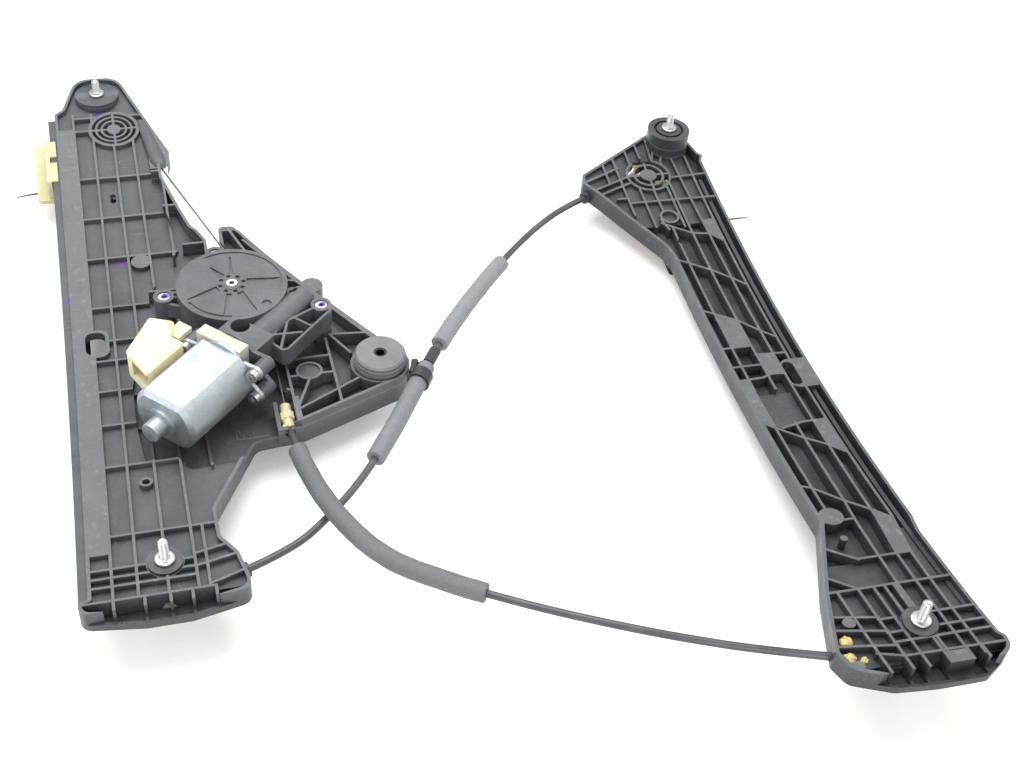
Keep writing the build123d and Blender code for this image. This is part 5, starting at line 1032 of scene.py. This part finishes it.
def closed_tube(shape, count):
    """Adds a plain tube with both ends filled; returns its rings of corners from the bottom up."""
    rings = [bmesh.ops.create_circle(shape, segments=STUD_CORNERS, radius=1.0,
                                     matrix=Matrix.Translation((0.0, 0.0, index)))["verts"]
             for index in range(count)]
    loops = [list({edge for vertex in ring for edge in vertex.link_edges}) for ring in rings]
    for before, after in zip(loops, loops[1:]):
        bmesh.ops.bridge_loops(shape, edges=before + after)
    for end in (loops[0], loops[-1]):
        bmesh.ops.edgeloop_fill(shape, edges=end)
    return rings


def add_stud(shape, where, x, y, seat, reach):
    """Adds one stud: a plain tube, each ring of which is then moved to its height and radius."""
    rows = stud_rows(reach)
    for ring, (height, radius) in zip(closed_tube(shape, len(rows)), rows):
        for vertex in ring:
            turn = math.atan2(vertex.co.y, vertex.co.x)
            away = radius or thread_radius(turn, height, reach)
            vertex.co = where(x + away * math.cos(turn), y + away * math.sin(turn), seat + height)


print("rings a turn of the thread", RINGS_A_TURN)

# %% Four studs in one piece
LOWER_SEAT = 2.0
LOWER_REACH = 17.0
UPPER_REACH = 13.0
DRIVE_UPPER_STUD = (-10.3, 501.0, 1.0)
SECOND_UPPER_STUD = (20.0, 521.5)
SECOND_BOSS_RISE = 15.0


def studs_mesh(name, studs):
    """All studs in one mesh; each has its frame, its place, its seat's height and its reach."""
    shape = bmesh.new()
    for stud in studs:
        add_stud(shape, *stud)
    return finished_mesh(name, shape, 60.0)


second_seat = SECOND_BOSS_RISE + surface_z(SECOND_UPPER_STUD[1], 0.0, SECOND_ARC)
threaded = add_piece("threaded_studs", studs_mesh("threaded_studs", [
    (placed, 0.0, 0.0, LOWER_SEAT, LOWER_REACH),
    (placed, *DRIVE_UPPER_STUD, UPPER_REACH),
    (on_second, 0.0, 0.0, LOWER_SEAT, LOWER_REACH),
    (on_second, *SECOND_UPPER_STUD, second_seat, UPPER_REACH),
]), "frame", zinc_finish)
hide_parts("mounting_studs")
print("stud corners", len(threaded.data.vertices))

# %% [markdown]
# ## Leaf strips
# A thin leaf reaches out from under each slider to keep it from rattling. A straight bar would look
# stiff, so each strip widens from its tip to its root and bows a little on the way.

# %% Tapered leaf strips
LEAF_THICK = 0.6
LEAF_DEPTH = 19.0
LEAF_TIP_HALF = 0.55
LEAF_WIDENS = 0.75
LEAF_BOW = 0.9
LEAF_STATIONS = 16
LEAVES = (
    ("drive_leaf", (-79.8, 413.0), (-50.0, 415.5), DRIVE_ARC, placed, "drive_slide",
     "drive_spring_strip"),
    ("second_leaf", (70.6, 447.0), (46.0, 445.0), SECOND_ARC, on_second, "second_slide",
     "second_spring_strip"),
)


def leaf_section(share, tip, root, arc, where):
    """Section of a leaf at one station from its tip to its root."""
    x = tip[0] + (root[0] - tip[0]) * share
    y = tip[1] + (root[1] - tip[1]) * share + LEAF_BOW * math.sin(math.pi * share)
    half = LEAF_TIP_HALF + LEAF_WIDENS * share
    top, low = surface_z(y, -LEAF_DEPTH, arc), surface_z(y, -LEAF_DEPTH - LEAF_THICK, arc)
    corners = ((y - half, top), (y + half, top), (y + half, low), (y - half, low))
    return [where(x, across, z) for across, z in corners]


for name, tip, root, arc, where, body, owner in LEAVES:
    sections = [leaf_section(index / LEAF_STATIONS, tip, root, arc, where)
                for index in range(LEAF_STATIONS + 1)]
    leaf = add_piece(name, skin(name, sections), body, spring_finish)
    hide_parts(owner)
    print(name, "corners", len(leaf.data.vertices))

# %% [markdown]
# ## Second slider
# The second slider's plate ends behind the carrier's edge. Modelling the slider again would only repeat
# the fixed piece, so a merged copy of it is cut by a plane and the cut is filled.

# %% Second slider with its plate cut back
SLIDER_EDGE_X = -15.0
SLIDER_CUT_Y = 420.0
MERGE_REACH = 1e-6
CUT_REACH = 1e-7


def cut_back(name, node_name, point, outward):
    """Copy of a fixed piece, cut by a plane and closed."""
    source = parts[node_name]
    shape = bmesh.new()
    shape.from_mesh(source.data)
    shape.transform(source.matrix_world)
    bmesh.ops.remove_doubles(shape, verts=shape.verts, dist=MERGE_REACH)
    everything = list(shape.verts) + list(shape.edges) + list(shape.faces)
    cut = bmesh.ops.bisect_plane(shape, geom=everything, dist=CUT_REACH, plane_co=point,
                                 plane_no=outward, clear_outer=True)
    rim = [item for item in cut["geom_cut"] if isinstance(item, bmesh.types.BMEdge)]
    bmesh.ops.triangle_fill(shape, use_beauty=True, use_dissolve=False, edges=rim)
    return finished_mesh(name, shape, 30.0)


outward = Matrix.Rotation(SECOND_TURN, 3, "Z") @ Vector((-1.0, 0.0, 0.0))
cut_point = on_second(SLIDER_EDGE_X, SLIDER_CUT_Y, 0.0)
slider = add_piece("second_slider_body", cut_back("second_slider_body", "second_slider", cut_point, outward),
                   "second_slide", slider_finish)
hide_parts("second_slider")
print("slider corners", len(slider.data.vertices))

# %% [markdown]
# ## Grease at the lower guide
# Pale grease has been pressed out beside the second carrier's cable guide and lies in three soft lumps.
# Each is a ball of small triangles, flattened to its size and dented by noise.

# %% Lumps of grease
grease_finish = pale_moulding("grease", (0.62, 0.54, 0.22), (0.50, 0.40, 0.12), 0.30, grime=0.6)
GREASE = ((-46.5, -2.6, 4.0, 2.6), (-50.3, -15.5, 3.6, 2.4), (-43.0, -18.6, 2.2, 2.0))
GREASE_DEPTH = 4.4
DENT_SCALE = 1.7
DENT_SHARE = 0.28


def grease_mesh(name):
    """Soft lumps, flattened and dented by noise."""
    shape = bmesh.new()
    for x, y, wide, high in GREASE:
        centre = on_second(x, y, surface_z(y, -GREASE_DEPTH, SECOND_ARC))
        lump = bmesh.ops.create_icosphere(shape, subdivisions=4, radius=1.0)["verts"]
        for vertex in lump:
            size = 1.0 + DENT_SHARE * noise.noise(vertex.co * DENT_SCALE + Vector((x, y, 0.0)))
            flat = Vector((vertex.co.x * wide, vertex.co.y * wide, vertex.co.z * high))
            vertex.co = centre + flat * size * MM
    return finished_mesh(name, shape, 80.0)


grease = add_piece("grease", grease_mesh("grease"), "frame", grease_finish)
print("grease lumps", len(GREASE))

# %% [markdown]
# ## Conduits as cords
# A conduit is a bent cord; a simulation would want to know where it leaves its socket, how long and how
# thick it is, and what rides on it. Nothing here says so: the conduits stay the two splines above.

# %% The conduits stay splines
print("conduits are splines")

# %% [markdown]
# ## Floor
# The photograph was taken on white, with broad soft light from above and almost no shadow. A white wall
# behind would need a bend at its foot, so the floor alone is pale and wide, lies just under the machine
# and glows a little to the camera. What the camera sees beyond it is plain white.

# %% White floor
AIM = Vector((0.2, 0.17, 0.0))
FLOOR_REACH = 2.2
FLOOR_GAP = 0.0003
FLOOR_GLOW = 0.17
FAR_GLOW = 0.55
GLOW_FROM = 0.9
GLOW_TO = 2.6
PAPER_TONES = ((0.93, 0.93, 0.93), (0.96, 0.96, 0.96))


def floor_finish():
    """Pale matt floor with the faintest grain, a touch brighter to the camera and far away."""
    made, tree, shader, place = start_finish("floor_paper")
    grain = clouds(tree, place, 30.0, 4.0)
    put(tree, shader.inputs["Base Color"], blend_colour(tree, grain, *PAPER_TONES))
    put(tree, shader.inputs["Roughness"], spread(tree, grain, 0.3, 0.7, 0.85, 0.95))
    put(tree, shader.inputs["Emission Color"], (1.0, 1.0, 1.0, 1.0))
    seen = node(tree, "LightPath").outputs["Is Camera Ray"]
    away = node(tree, "VectorMath", {0: place}, operation="LENGTH").outputs["Value"]
    glow = spread(tree, away, GLOW_FROM, GLOW_TO, FLOOR_GLOW, FAR_GLOW)
    put(tree, shader.inputs["Emission Strength"], combine(tree, "MULTIPLY", seen, glow))
    return made


def lay_floor(height):
    """Square floor just under the machine."""
    shape = bmesh.new()
    bmesh.ops.create_grid(shape, x_segments=2, y_segments=2, size=FLOOR_REACH,
                          matrix=Matrix.Translation((AIM.x, AIM.y, height)))
    mesh = bpy.data.meshes.new("floor")
    shape.to_mesh(mesh)
    shape.free()
    floor = bpy.data.objects.new("floor", mesh)
    bpy.context.scene.collection.objects.link(floor)
    dress(floor, floor_finish())
    floor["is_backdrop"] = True


lay_floor(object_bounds()[0].z - FLOOR_GAP)
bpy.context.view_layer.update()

# %% [markdown]
# ## Lamps and surroundings
# One small lamp would throw hard shadows into every pocket. The wide lamp overhead shapes the ribs, the
# others only open their walls, and the white surroundings light what is left from all sides.

# %% Lamps and world
LAMPS = (
    ("overhead", (0.05, 0.55, 1.5), 1.4, 31.0),
    ("front_fill", (0.2, -1.7, 0.9), 1.2, 17.0),
    ("left_fill", (-1.3, -0.2, 0.9), 1.0, 7.0),
    ("right_fill", (1.6, 0.3, 0.9), 1.0, 5.0),
)
ROOM_LIGHT = 0.62


def lamp(name, place, size, power):
    """Square soft lamp aimed at the middle of the machine."""
    light = bpy.data.lights.new(name, "AREA")
    light.shape = "SQUARE"
    light.size = size
    light.energy = power
    holder = bpy.data.objects.new(name, light)
    turn = (Vector(place) - AIM).to_track_quat("Z", "Y").to_matrix().to_4x4()
    holder.matrix_world = Matrix.Translation(place) @ turn
    bpy.context.scene.collection.objects.link(holder)


def white_world(strength):
    """White surroundings: full white where seen, weaker as light."""
    world = bpy.data.worlds.new("white_room")
    bpy.context.scene.world = world
    world.use_nodes = True
    tree = world.node_tree
    path = node(tree, "LightPath")
    seen = combine(tree, "MAXIMUM", path.outputs["Is Camera Ray"], path.outputs["Is Glossy Ray"])
    seen = combine(tree, "MAXIMUM", seen, path.outputs["Is Transmission Ray"])
    back = tree.nodes["Background"]
    back.inputs["Color"].default_value = (1.0, 1.0, 1.0, 1.0)
    put(tree, back.inputs["Strength"], spread(tree, seen, 0.0, 1.0, strength, 1.0))


for name, place, size, power in LAMPS:
    lamp(name, place, size, power)
white_world(ROOM_LIGHT)
bpy.context.scene.view_settings.view_transform = "Standard"
print("lamps", len(bpy.data.lights))
